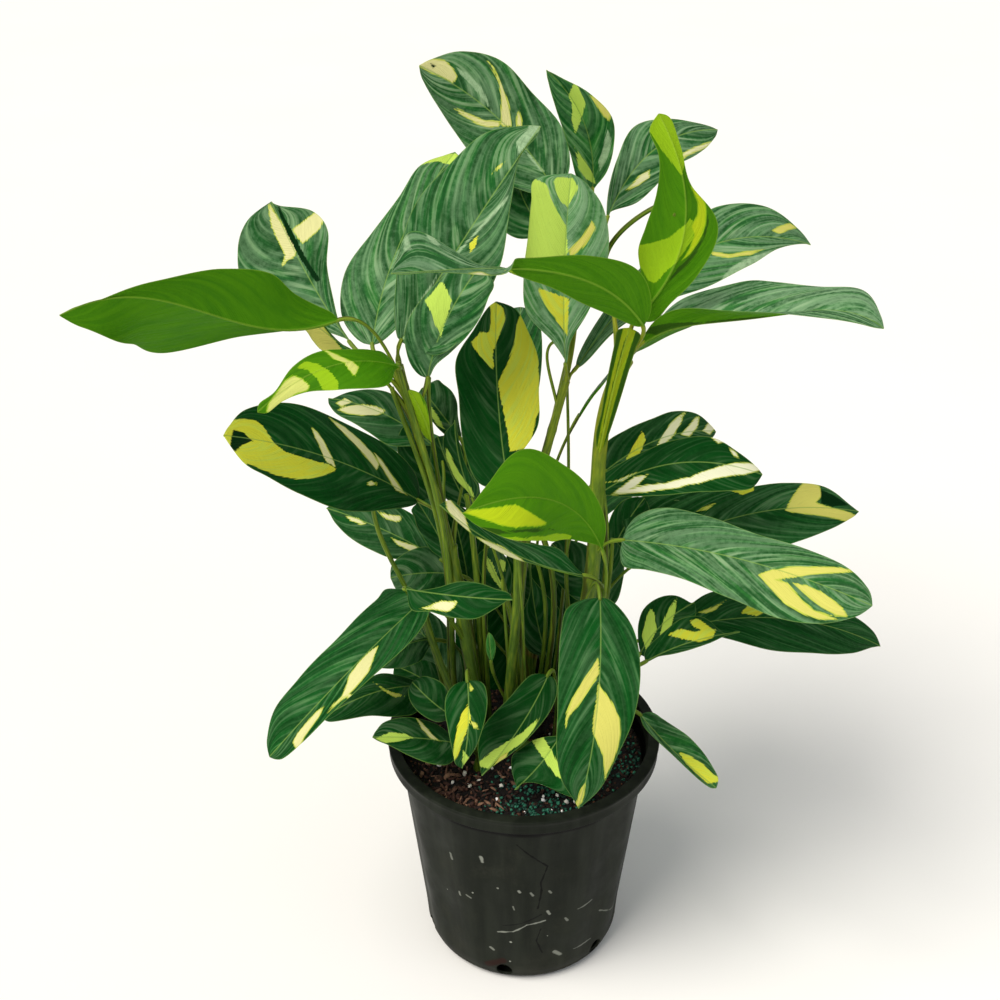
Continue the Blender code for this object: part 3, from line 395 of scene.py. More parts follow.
        left="23.5 35.1 32.7 25.6 26.6 23.3 12.1", right="25 27.2 29.7 37.4 42.8 33.3 15.8",
        faces=[(0.15, -0.6, 0.8)], look=(0.45, 0.57), marks=[
            "c 57,27 61,5 67,-21 76,-52 84,-86 91,-112 83,-53 75,-17 69,10 65,23 61,35",
            "c 57,27 65,23 69,22 72,34 77,52 82,67 88,78 92,96 85,90 79,81 71,68 65,51",
            "c 70,19 76,14 81,17 86,28 91,50 97,112 94,91 90,79 84,59 79,43 74,29"]),
    "leaf_right_big_rear": dict(shoot="shoot_right_low", midrib="104,30,401 198,50,436 305,70,428",
        left="49.2 50.9 37.4 26.4 26.4 22 5.6", right="13.5 30 40.8 41.6 34.2 21.6 8.1",
        faces=[(0.1, -0.5, 0.8)], look=(0.25, 0.14), marks=[
            "c 66,7 70,-34 74,-73 79,-112 84,-96 84,-51 81,-18 87,-6 94,15 103,72 96,112 86,51 77,29 70,17",
            "d 84,-79 90,-73 96,-64 88,-7 83,-19",
            "c 29,-44 35,-54 40,-61 34,-40",
            "g 45,-95 49,-112 53,-112 57,-112 55,-82 50,-72"]),
    "leaf_right_streaked_rear": dict(shoot="shoot_right_low", midrib="71,60,475 124,90,493 177,120,484",
        left="14.5 20.7 20.8 20.1 22.3 17.7 5.9", right="11.9 16.3 19.1 20.6 19.7 13.9 5.6",
        faces=[(0.1, -0.6, 0.7)], look=(0.14, 0.1, 0.8), marks=[
            "g 12,42 24,-9 33,-40 40,-66 38,-19 29,26 23,39",
            "c 41,37 52,-13 61,-48 71,-75 82,-112 70,-37 61,7 49,34",
            "c 66,9 76,-26 83,-67 90,-112 83,-15 74,30",
            "c 87,0 96,-112 103,-82 93,50"]),
    "leaf_right_streaked": dict(shoot="shoot_right_low", midrib="67,30,471 132,20,506 202,10,500",
        left="11.8 14.2 16.7 21.1 23.8 13 4.5", right="7 16.8 24.5 28.5 27.7 22.4 15.5",
        faces=[(0.1, -0.6, 0.7)], look=(0.1, 0.03, 1), marks=[
            "c 3,90 24,56 41,61 58,50 70,23 84,-27 92,-80 103,-112 91,29 80,48 64,74 47,84 26,87",
            "c 4,76 13,32 22,11 32,20 23,50 13,76",
            "c 0,-71 10,-17 26,-6 14,10",
            "c 65,-112 71,-112 79,-112 73,-80",
            "c 79,-90 83,-93 86,-61 82,-57"]),
    "leaf_middle_yellow": dict(shoot="shoot_centre_low", midrib="-15,-20,504 -24,20,571 -25,60,638",
        left="21.9 30 32.9 32.7 33.8 18.1 7.5", right="0.6 11.3 31.3 34.8 35.3 26.4 16.4",
        faces=[(0, -0.9, 0.4)], look=(0.03, 0.03, 0.5), marks=[
            "g 97,112 92,112 84,112 76,112 62,97 48,112 35,92 20,112 19,35 31,17 42,11 53,4 57,3 67,28 77,48 "
            "88,71",
            "g 103,-112 97,33 91,35 85,20 78,3 73,-8 63,-6 68,-27 72,-47 78,-80 81,-72 84,-66 83,-35 84,-25 "
            "90,-30 96,-50"]),
    "leaf_middle_bright": dict(shoot="shoot_front", midrib="63,-60,466 17,-100,539 -50,-150,556",
        left="2.4 11.5 19.8 28.7 36.9 15.2 2.5", right="0.6 15.2 27.6 31.8 34.4 32.1 15.4",
        faces=[(0, 0.95, -0.2), (-0.2, 0.6, -0.6)], fold=-15, curl=15, look=(0.6, 0), marks=[
            "c 103,-112 93,7 84,14 76,13 70,30 62,48 51,61 66,69 81,70 88,65 94,52",
            "l 98,112 94,112 88,97 77,94 54,89 21,76 18,112 53,112 81,112 90,112 95,112",
            "d 98,74 93,82 87,79 75,75 56,70 36,67 67,82 85,85 94,112"]),
    "leaf_middle_under": dict(shoot="shoot_front", midrib="50,-40,430 -14,-60,466 -71,-60,511",
        left="2.5 0.8 1.4 4.8 4.3 2.1 0.6", right="5.2 21.2 20 12.2 8.2 10.3 10", faces=[(-0.1, -0.4, 0.9)],
        look=(0.2, 0.1, 0.6), marks=[
            "c 103,112 95,89 85,67 77,-90 85,-112 96,13",
            "c 74,-89 58,16 47,0 37,-112 50,-112 64,-112"]),
    "leaf_middle_small": dict(shoot="shoot_centre_low", midrib="-45,10,475 -56,10,512 -60,12,551",
        left="0.7 2.1 7.3 10.2 11.8 9.3 1.5", right="4.6 8.5 6.3 4.1 3 1.9 1.1", faces=[(0, -0.9, 0.4)],
        look=(0.18, 0.07), marks=[
            "l 74,-77 60,-54 44,-39 28,-14 14,34 2,38 10,-112 24,-112 42,-92 59,-95"]),
    "leaf_left_lime_small": dict(shoot="shoot_left", start=0.9, midrib="-137,-5,618 -154,-5,632 -177,-5,651",
        left="1.6 0.9 7.8 14.8 12.7 9.3 8.1", right="1.6 1.7 0.7 2 4.9 4.8 1", faces=[(-0.1, -0.5, 0.8)],
        look=(0.5, 0.14), marks=[
            "c 103,-112 87,112 65,52 36,-18 19,-112 40,-112 60,-112 84,-112"]),
    "leaf_shade_middle": dict(shoot="shoot_rear", midrib="24,60,269 11,60,326 6,70,376",
        left="0.6 14 17.1 13.8 3.2 1.5 1.4", right="0.6 14 21.2 23 11.3 0.6 1.4", faces=[(0, -0.7, 0.5)],
        look=(0.18, 0.07)),
    "leaf_rear_left": dict(shoot="shoot_rear", midrib="-45,120,400 -100,165,445 -160,205,420",
        left="14.2 25.5 32 32.5 27.2 18 7.4", faces=[(-0.2, 0.3, 0.9)], look=(0.35, 0.17)),
    "leaf_rear_right": dict(shoot="shoot_rear", midrib="60,125,380 115,175,420 160,230,385",
        left="14.2 25.5 32 32.5 27.2 18 7.4", faces=[(0.2, 0.3, 0.9)], look=(0.38, 0.17)),
    "leaf_rear_upper": dict(shoot="shoot_rear", midrib="-5,140,480 -4,190,545 -2,252,552",
        left="9 17 21 22 20 14 7", faces=[(0, -0.3, 0.9), (0, 0.3, 0.9)], look=(0.35, 0.21)),
    "leaf_rear_low": dict(shoot="shoot_rear", midrib="10,125,290 0,165,300 -15,210,265",
        left="10.7 19.3 24.2 24.6 20.6 13.6 5.6", faces=[(0, 0.4, 0.9)], look=(0.3, 0.14)),
    "leaf_rear_side_left": dict(shoot="shoot_rear", midrib="-50,110,330 -90,128,350 -128,145,340",
        left="11.6 20.9 26.2 26.6 22.3 14.7 6.1", faces=[(-0.2, 0.2, 0.9)], look=(0.32, 0.17)),
    "leaf_rear_side_right": dict(shoot="shoot_rear", midrib="50,120,500 105,150,555 160,190,560",
        left="13.3 24 30.1 30.5 25.6 16.9 7", faces=[(-0.58, 0.36, 0.66)], fold=8, look=(0.36, 0.17)),
    "inner_leaf_01": dict(shoot="shoot_left", start=0.5, midrib="-56,35,522 -73,30,550 -88,30,572",
        left="2.7 7.5 9.7 10.3 9.2 7.4 5.9", right="2.5 5 9.6 16.3 18.7 16.7 14.3", faces=[(0, -0.8, 0.5)],
        look=(0.22, 0.25), marks=[
            "l 81,-64 71,-34 51,-39 29,-64 44,-87 62,-80"]),
    "inner_leaf_02": dict(shoot="shoot_centre_low", midrib="-49,45,446 -64,40,483 -76,40,521",
        left="3.1 10.6 15.1 15.8 14.1 10 6.3", right="4.2 10 14.3 17 18.1 16.7 14.2", faces=[(0, -0.9, 0.4)],
        look=(0.05, 0.08)),
    "inner_leaf_03": dict(shoot="shoot_left_low", midrib="-59,50,372 -86,40,381 -121,30,382",
        left="13.6 20.4 26 26 23.8 17.5 12.3", right="7.4 15.7 22.2 24.3 21.6 16.7 9.5",
        faces=[(-0.1, -0.7, 0.6)], look=(0.2, 0.3)),
    "inner_leaf_04": dict(shoot="shoot_centre_low", midrib="-16,30,358 -26,30,385 -37,30,412",
        left="5.3 9.1 11.5 12.3 11.6 8.4 6.3", right="3.7 8.4 11.9 15 15.9 13.2 10.1", faces=[(0, -0.9, 0.4)],
        look=(0.12, 0.1), marks=[
            "l 91,-8 78,14 49,11 16,36 26,-15 52,-30 74,-37",
            "l 76,62 67,82 48,64 56,34"]),
    "inner_leaf_05": dict(shoot="shoot_left_low", midrib="-62,40,246 -83,40,295 -114,40,338",
        left="13.1 19.3 22.6 23.1 20.4 14.5 7.7", right="4.1 11 16.5 21 22.9 18.7 14.1",
        faces=[(-0.2, -0.8, 0.5)], look=(0.15, 0.35)),
    "inner_leaf_06": dict(shoot="shoot_centre_low", midrib="73,50,338 52,50,372 25,50,406",
        left="6 12.7 17.9 20.8 19.7 15.7 9.2", right="5.5 13.1 21 24.4 22.1 15.2 9.7", faces=[(0.1, -0.8, 0.5)],
        look=(0.1, 0.1)),
    "inner_leaf_07": dict(shoot="shoot_rear", midrib="-32,90,177 -34,100,252 -35,100,332",
        left="10.2 21.5 28.8 31.8 30.8 25.1 18.2", right="8.6 22 31.5 35.2 33.2 26.3 16.1",
        faces=[(0, -0.9, 0.4)], look=(0, 0)),
    "inner_leaf_08": dict(shoot="shoot_right_low", midrib="76,40,338 75,40,379 78,30,424",
        left="3.2 7.8 9.9 10.9 11 9.9 9.7", right="4.8 11.4 15 16.2 13.6 9.9 3.8", faces=[(0.1, -0.9, 0.4)],
        look=(0.08, 0.1)),
    "inner_leaf_09": dict(shoot="shoot_rear", midrib="-50,80,322 -57,80,380 -68,80,431",
        left="9.2 15.2 18.8 20.5 19.7 16.5 11.9", right="3.9 12.7 19.6 23.3 21.5 15.8 7.1",
        faces=[(0, -0.9, 0.4)], look=(0.03, 0.03)),
    "inner_leaf_10": dict(shoot="shoot_rear", midrib="13,80,305 8,80,347 -3,80,389",
        left="4.5 15 19.5 22.6 21.3 18.2 12.5", right="4.2 13.7 21.2 26.2 25.9 18.6 8.4",
        faces=[(0, -0.9, 0.4)], look=(0.04, 0.04)),
    "inner_leaf_11": dict(shoot="shoot_right_low", midrib="96,60,382 115,60,404 150,60,433",
        left="5.7 14.6 20.1 23 22.4 17.4 15.1", right="10.2 15 21.6 24 25.1 22.8 20.9",
        faces=[(0.1, -0.8, 0.5)], look=(0.1, 0.15)),
    "inner_leaf_12": dict(shoot="shoot_left_low", midrib="-78,60,423 -93,60,477 -104,60,522",
        left="4 10.6 14.4 17.4 15.6 12.4 6.4", right="2.3 11.3 16.2 17.5 16.6 12.8 7.2",
        faces=[(-0.1, -0.8, 0.5)], look=(0.08, 0.08)),
    "inner_leaf_13": dict(shoot="shoot_rear", midrib="40,90,197 37,95,255 32,95,314",
        left="4.3 14.5 19.2 21.5 21.3 16.8 15.6", right="3.4 11.4 16.2 19 18.7 15.6 13.2",
        faces=[(0, -0.9, 0.4)], look=(0.02, 0)),
    "inner_leaf_14": dict(shoot="shoot_rear", midrib="51,85,246 44,90,289 37,90,343",
        left="3.8 10.8 13.5 15 13.8 12.5 10.3", right="4.2 11.5 17.3 21.8 22.9 21.5 18.2",
        faces=[(0, -0.9, 0.4)], look=(0.02, 0)),
    "inner_leaf_15": dict(shoot="shoot_left_low", midrib="-71,30,244 -93,30,267 -121,30,284",
        left="6.8 12.1 15.3 16.9 16.8 13 9.8", right="3.5 8.8 15 19.5 20.7 14.6 9.4", faces=[(-0.1, -0.7, 0.6)],
        look=(0.05, 0.1)),
    "inner_leaf_16": dict(shoot="shoot_right_low", midrib="74,50,373 85,55,407 108,60,448",
        left="1.9 5 10 13.5 16.1 14.1 6.5", right="4.3 14.1 18.2 21.2 19.4 15.8 6.8", faces=[(0, -0.9, 0.4)],
        look=(0.1, 0.05)),
    "inner_leaf_17": dict(shoot="shoot_left_low", midrib="-64,30,395 -77,30,427 -94,30,461",
        left="0.7 5.8 12 12.8 13.1 10.1 8.5", right="2.7 5.1 9.2 12.2 15.1 15 14", faces=[(-0.1, -0.9, 0.4)],
        look=(0.25, 0.1)),
    "sheath_left": dict(midrib="-79,-9,543 -86,-18,574 -95,-22,596", left="0.6 1 2.5 4.9 6.7 6.2 2.4",
        right="2.7 5.3 6.4 6.9 6 4.6 3", faces=[(0, 0.9, -0.4)], look=(0.9, 0), marks=[
            "l -20,-140 120,-140 120,140 -20,140"]),
    "inner_leaf_18": dict(shoot="shoot_centre_low", midrib="-30,-2,311 -31,-2,327 -32,-2,344",
        left="0.8 1.7 3.3 3.7 3.3 2.2 0.8", right="0.9 2.5 4.3 5.2 5 3.6 1.9", faces=[(0, -0.9, 0.3)],
        look=(0.95, 0.1)),
    # its dark strips along both margins are painted shade, where the sheath turns round the cane
    "sheath_right": dict(midrib="61,-6,531 69,-11,586 80,-20,649", left="2.7 4.8 6.7 8.1 8.8 9.4 10.2",
        right="3.4 5.8 5.2 6.5 7.4 8.2 8.7", faces=[(0, 0.9, -0.4)], look=(0.2, 0), marks=[
            "g -20,-60 120,-60 120,60 -20,60",
            "d -20,10 50,8 95,0 90,14 50,24 -20,22",
            "d -20,-130 120,-130 120,-60 -20,-60",
            "d -20,60 120,60 120,130 -20,130"]),
}


def curveThrough(points, t):
    # the polynomial through the points, spaced by their chords, and its unit tangents, at each t from 0 to 1
    spacing = lengths(points)
    order = len(points) - 1
    terms = np.linalg.solve(np.vander(spacing / spacing[-1]), points)
    slopes = np.vander(t, order) @ (terms[:-1] * np.arange(order, 0, -1)[:, None])
    return np.vander(t, order + 1) @ terms, unit(slopes)


def fourWays(value):
    # a value given once, for each half, or for each half at the base and at the tip
    value = value if isinstance(value, tuple) else (value,) * 4
    return value if len(value) == 4 else value * 2


def tableWidths(text, u):
    # a half's width at u from seven of them in mm: a smooth curve through them over the angle whose cosine is
    # 1-2u, an eighth of a half turn apart, which leaves the base steeply and reaches the tip in a point
    table = [float(value) for value in text.split()]
    values = np.array([-table[0], 0.0, *table, 0.0, table[-1]])
    place = np.arccos(1 - 2 * np.clip(u, 0, 1)) / math.pi * 8
    step = np.minimum(place.astype(int), 7)
    t = place - step
    before, start, end, after = (values[step + shift] for shift in range(4))
    cubic = 2 * before - 5 * start + 4 * end - after + t * (3 * (start - end) + after - before)
    return (start + 0.5 * t * (end - before + t * cubic)) * mm


def halfWidths(form, u):
    # the left and the right half's width at u
    return [np.maximum(tableWidths(form.get(half, form["left"]), u), leafLook["endWidth"] / 2)
            for half in ("left", "right")]


def leafSheet(form, u, v):
    # the blade's middle at u along and v across: from the midrib each half leaves at its fold angle a and
    # turns on by its curl b as an arc, so that at v its width times (sin(a+bv)-sin a)/b lies across and
    # (cos a-cos(a+bv))/b lies up, with a small wave of v squared on top
    midrib, along = curveThrough(rowsOf(form["midrib"], mm), u)
    turn = ease(*form.get("twist", (0, 1)), u)[:, None]
    face = unit(np.array(form["faces"][0], float)) * (1 - turn) + unit(np.array(form["faces"][-1], float)) * turn
    up = unit(face - (face * along).sum(1, keepdims=True) * along)
    side = np.cross(along, up)
    left, right = halfWidths(form, u)
    rightHalf = (v >= 0)[None, :]
    out = np.abs(v)[None, :]
    run = u[:, None]
    fold = np.radians(fourWays(form.get("fold", leafLook["fold"])))
    curl = np.radians(fourWays(form.get("curl", leafLook["curl"]))) + 1e-4
    angle, bend = (np.where(rightHalf, ways[1] + (ways[3] - ways[1]) * run, ways[0] + (ways[2] - ways[0]) * run)
                   for ways in (fold, curl))
    across = (np.sin(angle + bend * out) - np.sin(angle)) / bend
    rise = (np.cos(angle) - np.cos(angle + bend * out)) / bend
    rise = rise + leafLook["wave"] * np.sin(2 * tau * run + np.where(rightHalf, 0.0, 1.9)) * out ** 2
    reach = np.where(rightHalf, right[:, None], left[:, None])
    sideways = (np.sign(v)[None, :] * reach * across)[..., None]
    return midrib[:, None] + side[:, None] * sideways + up[:, None] * (reach * rise)[..., None]


def depthInside(places, outline):
    # how deep each place lies inside a closed outline: its distance to the nearest edge, negative outside,
    # and inside where a line to the right crosses the edges an odd number of times
    ends = np.roll(outline, -1, axis=0)
    run = ends - outline
    gap = places[:, None] - outline
    t = np.clip((gap * run).sum(-1) / np.maximum((run * run).sum(-1), 1e-9), 0, 1)
    distance = np.linalg.norm(gap - t[..., None] * run, axis=-1).min(1)
    above = outline[:, 1] > places[:, 1:2]
    crosses = above != (ends[:, 1] > places[:, 1:2])
    safe = np.where(np.abs(run[:, 1]) < 1e-9, 1e-9, run[:, 1])
    meet = outline[:, 0] + (places[:, 1:2] - outline[:, 1]) * run[:, 0] / safe
    inside = (crosses & (places[:, :1] < meet)).sum(1) % 2 == 1
    return np.where(inside, distance, -distance)


def markDepths(form, places, length):
    # for cream, gold, lime, dark and silver, how deep each place lies in the leaf's marks of that colour, in
    # mm: the greatest depth of them all, kept within the reach
    channels = "cglds"
    reach = leafLook["markReach"]
    depths = np.full((len(channels), len(places)), -float(reach))
    for text in form.get("marks", []):
        u, v = rowsOf(text[2:], percent).T
        left, right = halfWidths(form, np.clip(u, 0.05, 0.95))
        across = v * np.where(v < 0, left, right) + leafLook["markOver"] * mm * (np.abs(v) > 1) * np.sign(v)
        channel = channels.index(text[0])
        outline = np.stack([across, u * length], axis=-1) / mm
        depths[channel] = np.maximum(depths[channel], depthInside(places, outline))
    return np.clip(depths, -reach, reach)


def buildLeaf(name, form, number):
    # the sheet, thickened to both sides along its normal, with ripples cos(w) along the side veins, a rib
    # below of height sqrt(1-x^2) and a groove above of depth exp(-x^2), x being the way across from the midrib
    look = leafLook
    length = lengths(rowsOf(form["midrib"], mm))[-1]
    widest = sum(max(map(float, form.get(half, form["left"]).split())) for half in ("left", "right")) / 2 * mm
    rows = int(np.clip(length / look["cell"], *look["rows"]))
    half = int(np.clip(widest / look["cell"] * 1.2, *look["columns"]))
    t = np.linspace(0, 1, rows + 1)
    u = 0.6 * t + 0.4 * (0.5 - 0.5 * np.cos(math.pi * t))      # rows lie closer at both ends
    v = np.linspace(-1, 1, 2 * half + 1)
    v = np.sign(v) * np.abs(v) ** 1.6                           # and columns closer at the midrib
    sheet = leafSheet(form, u, v)
    normal = unit(np.cross(np.gradient(sheet, axis=1), np.gradient(sheet, axis=0)))
    left, right = (width[:, None] / mm for width in halfWidths(form, u))
    x = v * np.where(v < 0, left, right)
    out = np.abs(v)[None, :]
    w = (u[:, None] - look["veinLean"] * (out + out ** 2)) * length / mm
    pleat = look["pleat"] * np.cos(tau * w / look["pleatStep"]) * ease(0, 0.25, out) * (1 - out ** 4)
    pleat = pleat * ease(0, 0.12, u)[:, None] * ease(1, 0.85, u)[:, None]
    wall = 0.5 * (look["blade"] + (look["margin"] - look["blade"]) * out ** 3)
    taper = 1 - 0.8 * u[:, None]
    rib = look["ribHeight"] * taper * np.sqrt(np.clip(1 - (x / (look["ribHalf"] * taper)) ** 2, 0, 1))
    groove = look["groove"] * taper * np.exp(-(x / look["grooveHalf"]) ** 2)
    upper = sheet + normal * (pleat + wall - groove)[..., None]
    lower = sheet + normal * (pleat - wall - rib)[..., None]
    ring, ringX, ringW = (np.concatenate([above, below[:, ::-1]], axis=1)
                          for above, below in ((upper, lower), (x, x), (w, w)))
    count, columns = ringX.shape
    points = np.concatenate([ring.reshape(-1, 3), ring[[0, -1]].mean(1)])
    long = length / mm
    places = np.stack([np.append(ringX, [0.0, 0.0]), np.append(np.repeat(u * long, columns), [0.0, long])], -1)
    depths = markDepths(form, places, length)
    inward = np.append(np.where(ringX < 0, left, right) - np.abs(ringX), [0.0, 0.0])
    same = np.ones(len(points))
    toneWithShade, skySheen, chalk = ((*form["look"], 0)[part] * same for part in range(3))
    attributes = {
        "veins": np.stack([np.append(ringW, [0.0, long]), places[:, 0], number * look["seedStep"] * same], -1),
        "pale": depths[:3].T,
        "shade": np.stack([depths[3], toneWithShade, skySheen], axis=-1),
        "rim": np.stack([inward, depths[4], chalk], axis=-1),
    }
    below = np.arange(columns) >= len(v)
    piece = makePiece("fine_" + name, points, closedFaces(count, columns), attributes,
                      np.tile(below, count + 1), leafMaterials)
    piece.data.set_sharp_from_angle(angle=math.radians(look["sharp"]))
    settle(piece, "leaf", *([name] if name.startswith("leaf_") else []))


# living leaf, ctenanthe: a waxy cuticle over deep green, splashed with cream where the green is missing.
# It gives the eye a soft broad shine, silvery feathers between the side veins, a painted sheen: grey-green sky
# reflection painted into the colour of the leaves that face the sky, and marks whose edges run along the side
# veins
leafFinishes = {
    "living_leaf_upper": {
        "greens": [(0.0, "#003a0a"), (1.0, "#3d8a36"), (0.45, "#0a551a")], "vein": "#003a0a", "rib": "#84a852",
        "feather": "#a3bd93", "skySheen": "#86ab82", "silver": "#a8c79b", "cream": "#d6d26a", "chalk": "#efefcf",
        "creamRim": "#b9c748", "gold": "#d4d63c", "lime": "#bcdb5c", "dark": "#02290a",
        "contrast": 1.0, "line": 0.6, "ribWidth": 0.9, "roughness": 0.46, "shine": 0.055,
    },
    # underside: its own paler green, painted brighter still as a glow of light shining through the blade
    "living_leaf_underside": {
        "greens": [(0.0, "#2a6a03"), (1.0, "#57910f")], "vein": "#2a6a03", "rib": "#8fae3c",
        "feather": "#508a10", "skySheen": "#508a10", "silver": "#508a10", "cream": "#b9cf1e", "chalk": "#cfd675",
        "creamRim": "#93bd1c", "gold": "#93a31a", "lime": "#93bd1c", "dark": "#2f5410",
        "contrast": 0.45, "line": 0.35, "ribWidth": 1.0, "roughness": 0.55, "shine": 0.06,
    },
}
veinStep = 2.3    # mm between side veins, drawn coarser than the real ones so that they show


def leafMaterial(name, finish):
    material, add, shader = newMaterial(name)
    # the leaf's own coordinates in mm, along the side veins and across from the midrib, and its seed; then
    # how deep a place lies in each mark, and the leaf's look
    field, depths, (darkDepth, toneWithShade, skySheen), (margin, silverDepth, chalk) = (
        add("SeparateXYZ", add("Attribute", attribute_name=key, out="Vector"), out="all")
        for key in ("veins", "pale", "shade", "rim"))

    def streaks(wide, long, shift, detail=1.0):
        # noise drawn out along the side veins: one cell is so many mm wide and long
        across, along = add("Math.MULTIPLY", field[0], 1 / wide), add("Math.MULTIPLY", field[1], 1 / long)
        spot = add("CombineXYZ", across, along, add("Math.ADD", field[2], shift))
        return add("TexNoise", Vector=spot, Scale=1.0, Detail=detail, Roughness=0.5)

    broad, bands, fine = streaks(13.0, 24.0, 4.0), streaks(6.5, 20.0, 9.0), streaks(1.8, 9.0, 14.0, 2.0)
    patch = streaks(20.0, 24.0, 2.0, 2.5)
    mottle = add("TexNoise", Vector=add("TexCoord", out="Object"), Scale=210.0, Detail=4.0, Roughness=0.7)
    away = add("Math.ABSOLUTE", field[1])
    # green: its tone, darker for leaves in shade as painted shade, lighter and darker in bands along the side
    # veins and mottled a little
    swings = ((broad, 0.32, 0.68, -0.24, 0.24), (bands, 0.30, 0.70, -0.10, 0.10),
              (fine, 0.30, 0.70, -0.05, 0.05), (mottle, 0.30, 0.70, -0.08, 0.08))
    pattern = chained(add, "ADD", *(add("MapRange", *swing) for swing in swings))
    pattern = add("Math.MULTIPLY", pattern, add("MapRange", toneWithShade, 0.0, 0.4, 0.25, finish["contrast"]))
    colour = add("ValToRGB", add("Math.ADD", toneWithShade, pattern), stops=finish["greens"])
    # silvery feathers between the veins, stronger near the midrib and on leaves with more painted sky sheen
    feather = add("MapRange", add("Math.ADD", bands, add("Math.MULTIPLY", fine, 0.2)), 0.54, 0.82)
    spread = chained(add, "MULTIPLY", feather, add("MapRange", broad, 0.38, 0.58, 0.2, 1.0),
                     add("Math.ADD", skySheen, 0.08), add("MapRange", away, 2.0, 26.0, 1.0, 0.6))
    colour = add("Mix", spread, colour, finish["feather"])
    # painted sheen: grey-green sky reflection painted into the colour in blotches
    swings = ((patch, 0.34, 0.66, -0.24, 0.26), (mottle, 0.30, 0.70, -0.16, 0.16),
              (bands, 0.30, 0.70, -0.10, 0.10))
    sheenPattern = chained(add, "ADD", *(add("MapRange", *swing) for swing in swings))
    sky = add("Math.MULTIPLY", skySheen, add("MapRange", sheenPattern, -0.30, 0.34, 0.10, 0.68))
    colour = add("Mix", sky, colour, finish["skySheen"])
    # marks: where the depth inside a mark, feathered a little along the veins, is above nothing
    ragged = add("MapRange", fine, 0.25, 0.75, -0.7, 0.7)
    thread = add("MapRange", fine, 0.62, 0.72, 1.0, 0.85)
    silver = add("MapRange", add("Math.ADD", silverDepth, ragged), -0.5, 0.9)
    silver = add("Math.MULTIPLY", silver, add("MapRange", mottle, 0.3, 0.7, 0.5, 0.95))
    colour = add("Mix", silver, colour, finish["silver"])
    cream = add("Mix", chalk, finish["cream"], finish["chalk"])
    for depth, paint in ((depths[2], "lime"), (depths[1], "gold"), (depths[0], "cream")):
        edge = add("Math.ADD", depth, ragged)
        if paint == "cream":
            tint = add("Mix", add("MapRange", edge, 0.2, 1.5), finish["creamRim"], cream)
        else:
            tint = add("Mix", add("MapRange", bands, 0.45, 0.65, 0.0, 0.45), finish[paint], finish["lime"])
        colour = add("Mix", add("Math.MULTIPLY", add("MapRange", edge, -0.25, 0.35), thread), colour, tint)
    # dark marks: the leaf's own dark green, and on some leaves painted shade
    edge = add("Math.ADD", darkDepth, ragged)
    colour = add("Mix", add("MapRange", edge, -0.25, 0.45), colour, finish["dark"])
    # midrib: a pale line
    line = add("MapRange", away, 0.15, finish["ribWidth"], finish["line"], 0.0)
    colour = add("Mix", line, colour, finish["rib"])
    # side veins: fine dark lines
    turn = add("Math.ADD", add("Math.MULTIPLY", field[0], tau / veinStep), add("Math.MULTIPLY", fine, 2.5))
    wave = add("Math.SINE", turn)
    colour = add("Mix", add("MapRange", wave, 0.2, 1.0, 0.0, 0.07), colour, finish["vein"])
    # the very edge is dry and pale
    colour = add("Mix", add("MapRange", margin, 0.1, 1.0, 0.4, 0.0), colour, finish["rib"])
    height = chained(add, "ADD", wave, add("MapRange", fine, 0.2, 0.8, -1.2, 1.2),
                     add("MapRange", bands, 0.2, 0.8, -3.5, 3.5), add("MapRange", mottle, 0.2, 0.8, -1.2, 1.2))
    rough = finish["roughness"]
    fill(shader, {
        "Base Color": colour, "Roughness": add("MapRange", broad, 0.3, 0.7, rough - 0.08, rough + 0.08),
        "IOR": 1.45, "Specular IOR Level": finish["shine"],
        "Normal": add("Bump", Height=height, Strength=0.5, Distance=0.14 * mm)})
    return material


leafMaterials = [leafMaterial(name, finish) for name, finish in leafFinishes.items()]
for number, (name, form) in enumerate(leafForms.items()):
    buildLeaf(name, form, number)
print("leaves built:", len(leafForms))


# shoots: each foot, cane and leaf stalk as closed tubes in one piece; foot, cane and radii in mm, the nodes
# as places along the cane, and how golden its upper part is

shootForms = {
    "shoot_left": dict(foot=(-38, 12), footRadius=9, cane="-46,8,300 -72,0,465 -97,-10,580 -103,-10,612",
                       caneRadius=(5.5, 3.5), nodes=(0.30, 0.52, 0.70, 0.84, 0.95), gold=0.15),
    "shoot_middle": dict(foot=(-6, 34), footRadius=9, cane="-6,32,300 1,24,425 18,20,520 33,21,583",
                         caneRadius=(6.0, 3.5), nodes=(0.33, 0.55, 0.74, 0.88), gold=0.4),
    "shoot_right": dict(foot=(36, 4), footRadius=10, cane="44,3,300 60,0,430 61,0,510 80,-8,616",
                        caneRadius=(7.5, 6.0), nodes=(0.28, 0.48, 0.70), gold=0.8),
    "shoot_centre_low": dict(foot=(0, -2), footRadius=8),
    "shoot_right_low": dict(foot=(54, 36), footRadius=9),
    "shoot_front": dict(foot=(28, -36), footRadius=8),
    "shoot_left_low": dict(foot=(-52, 46), footRadius=8),
    "shoot_front_left": dict(foot=(-40, -28), footRadius=7),
    "shoot_rear": dict(foot=(8, 70), footRadius=8),
}
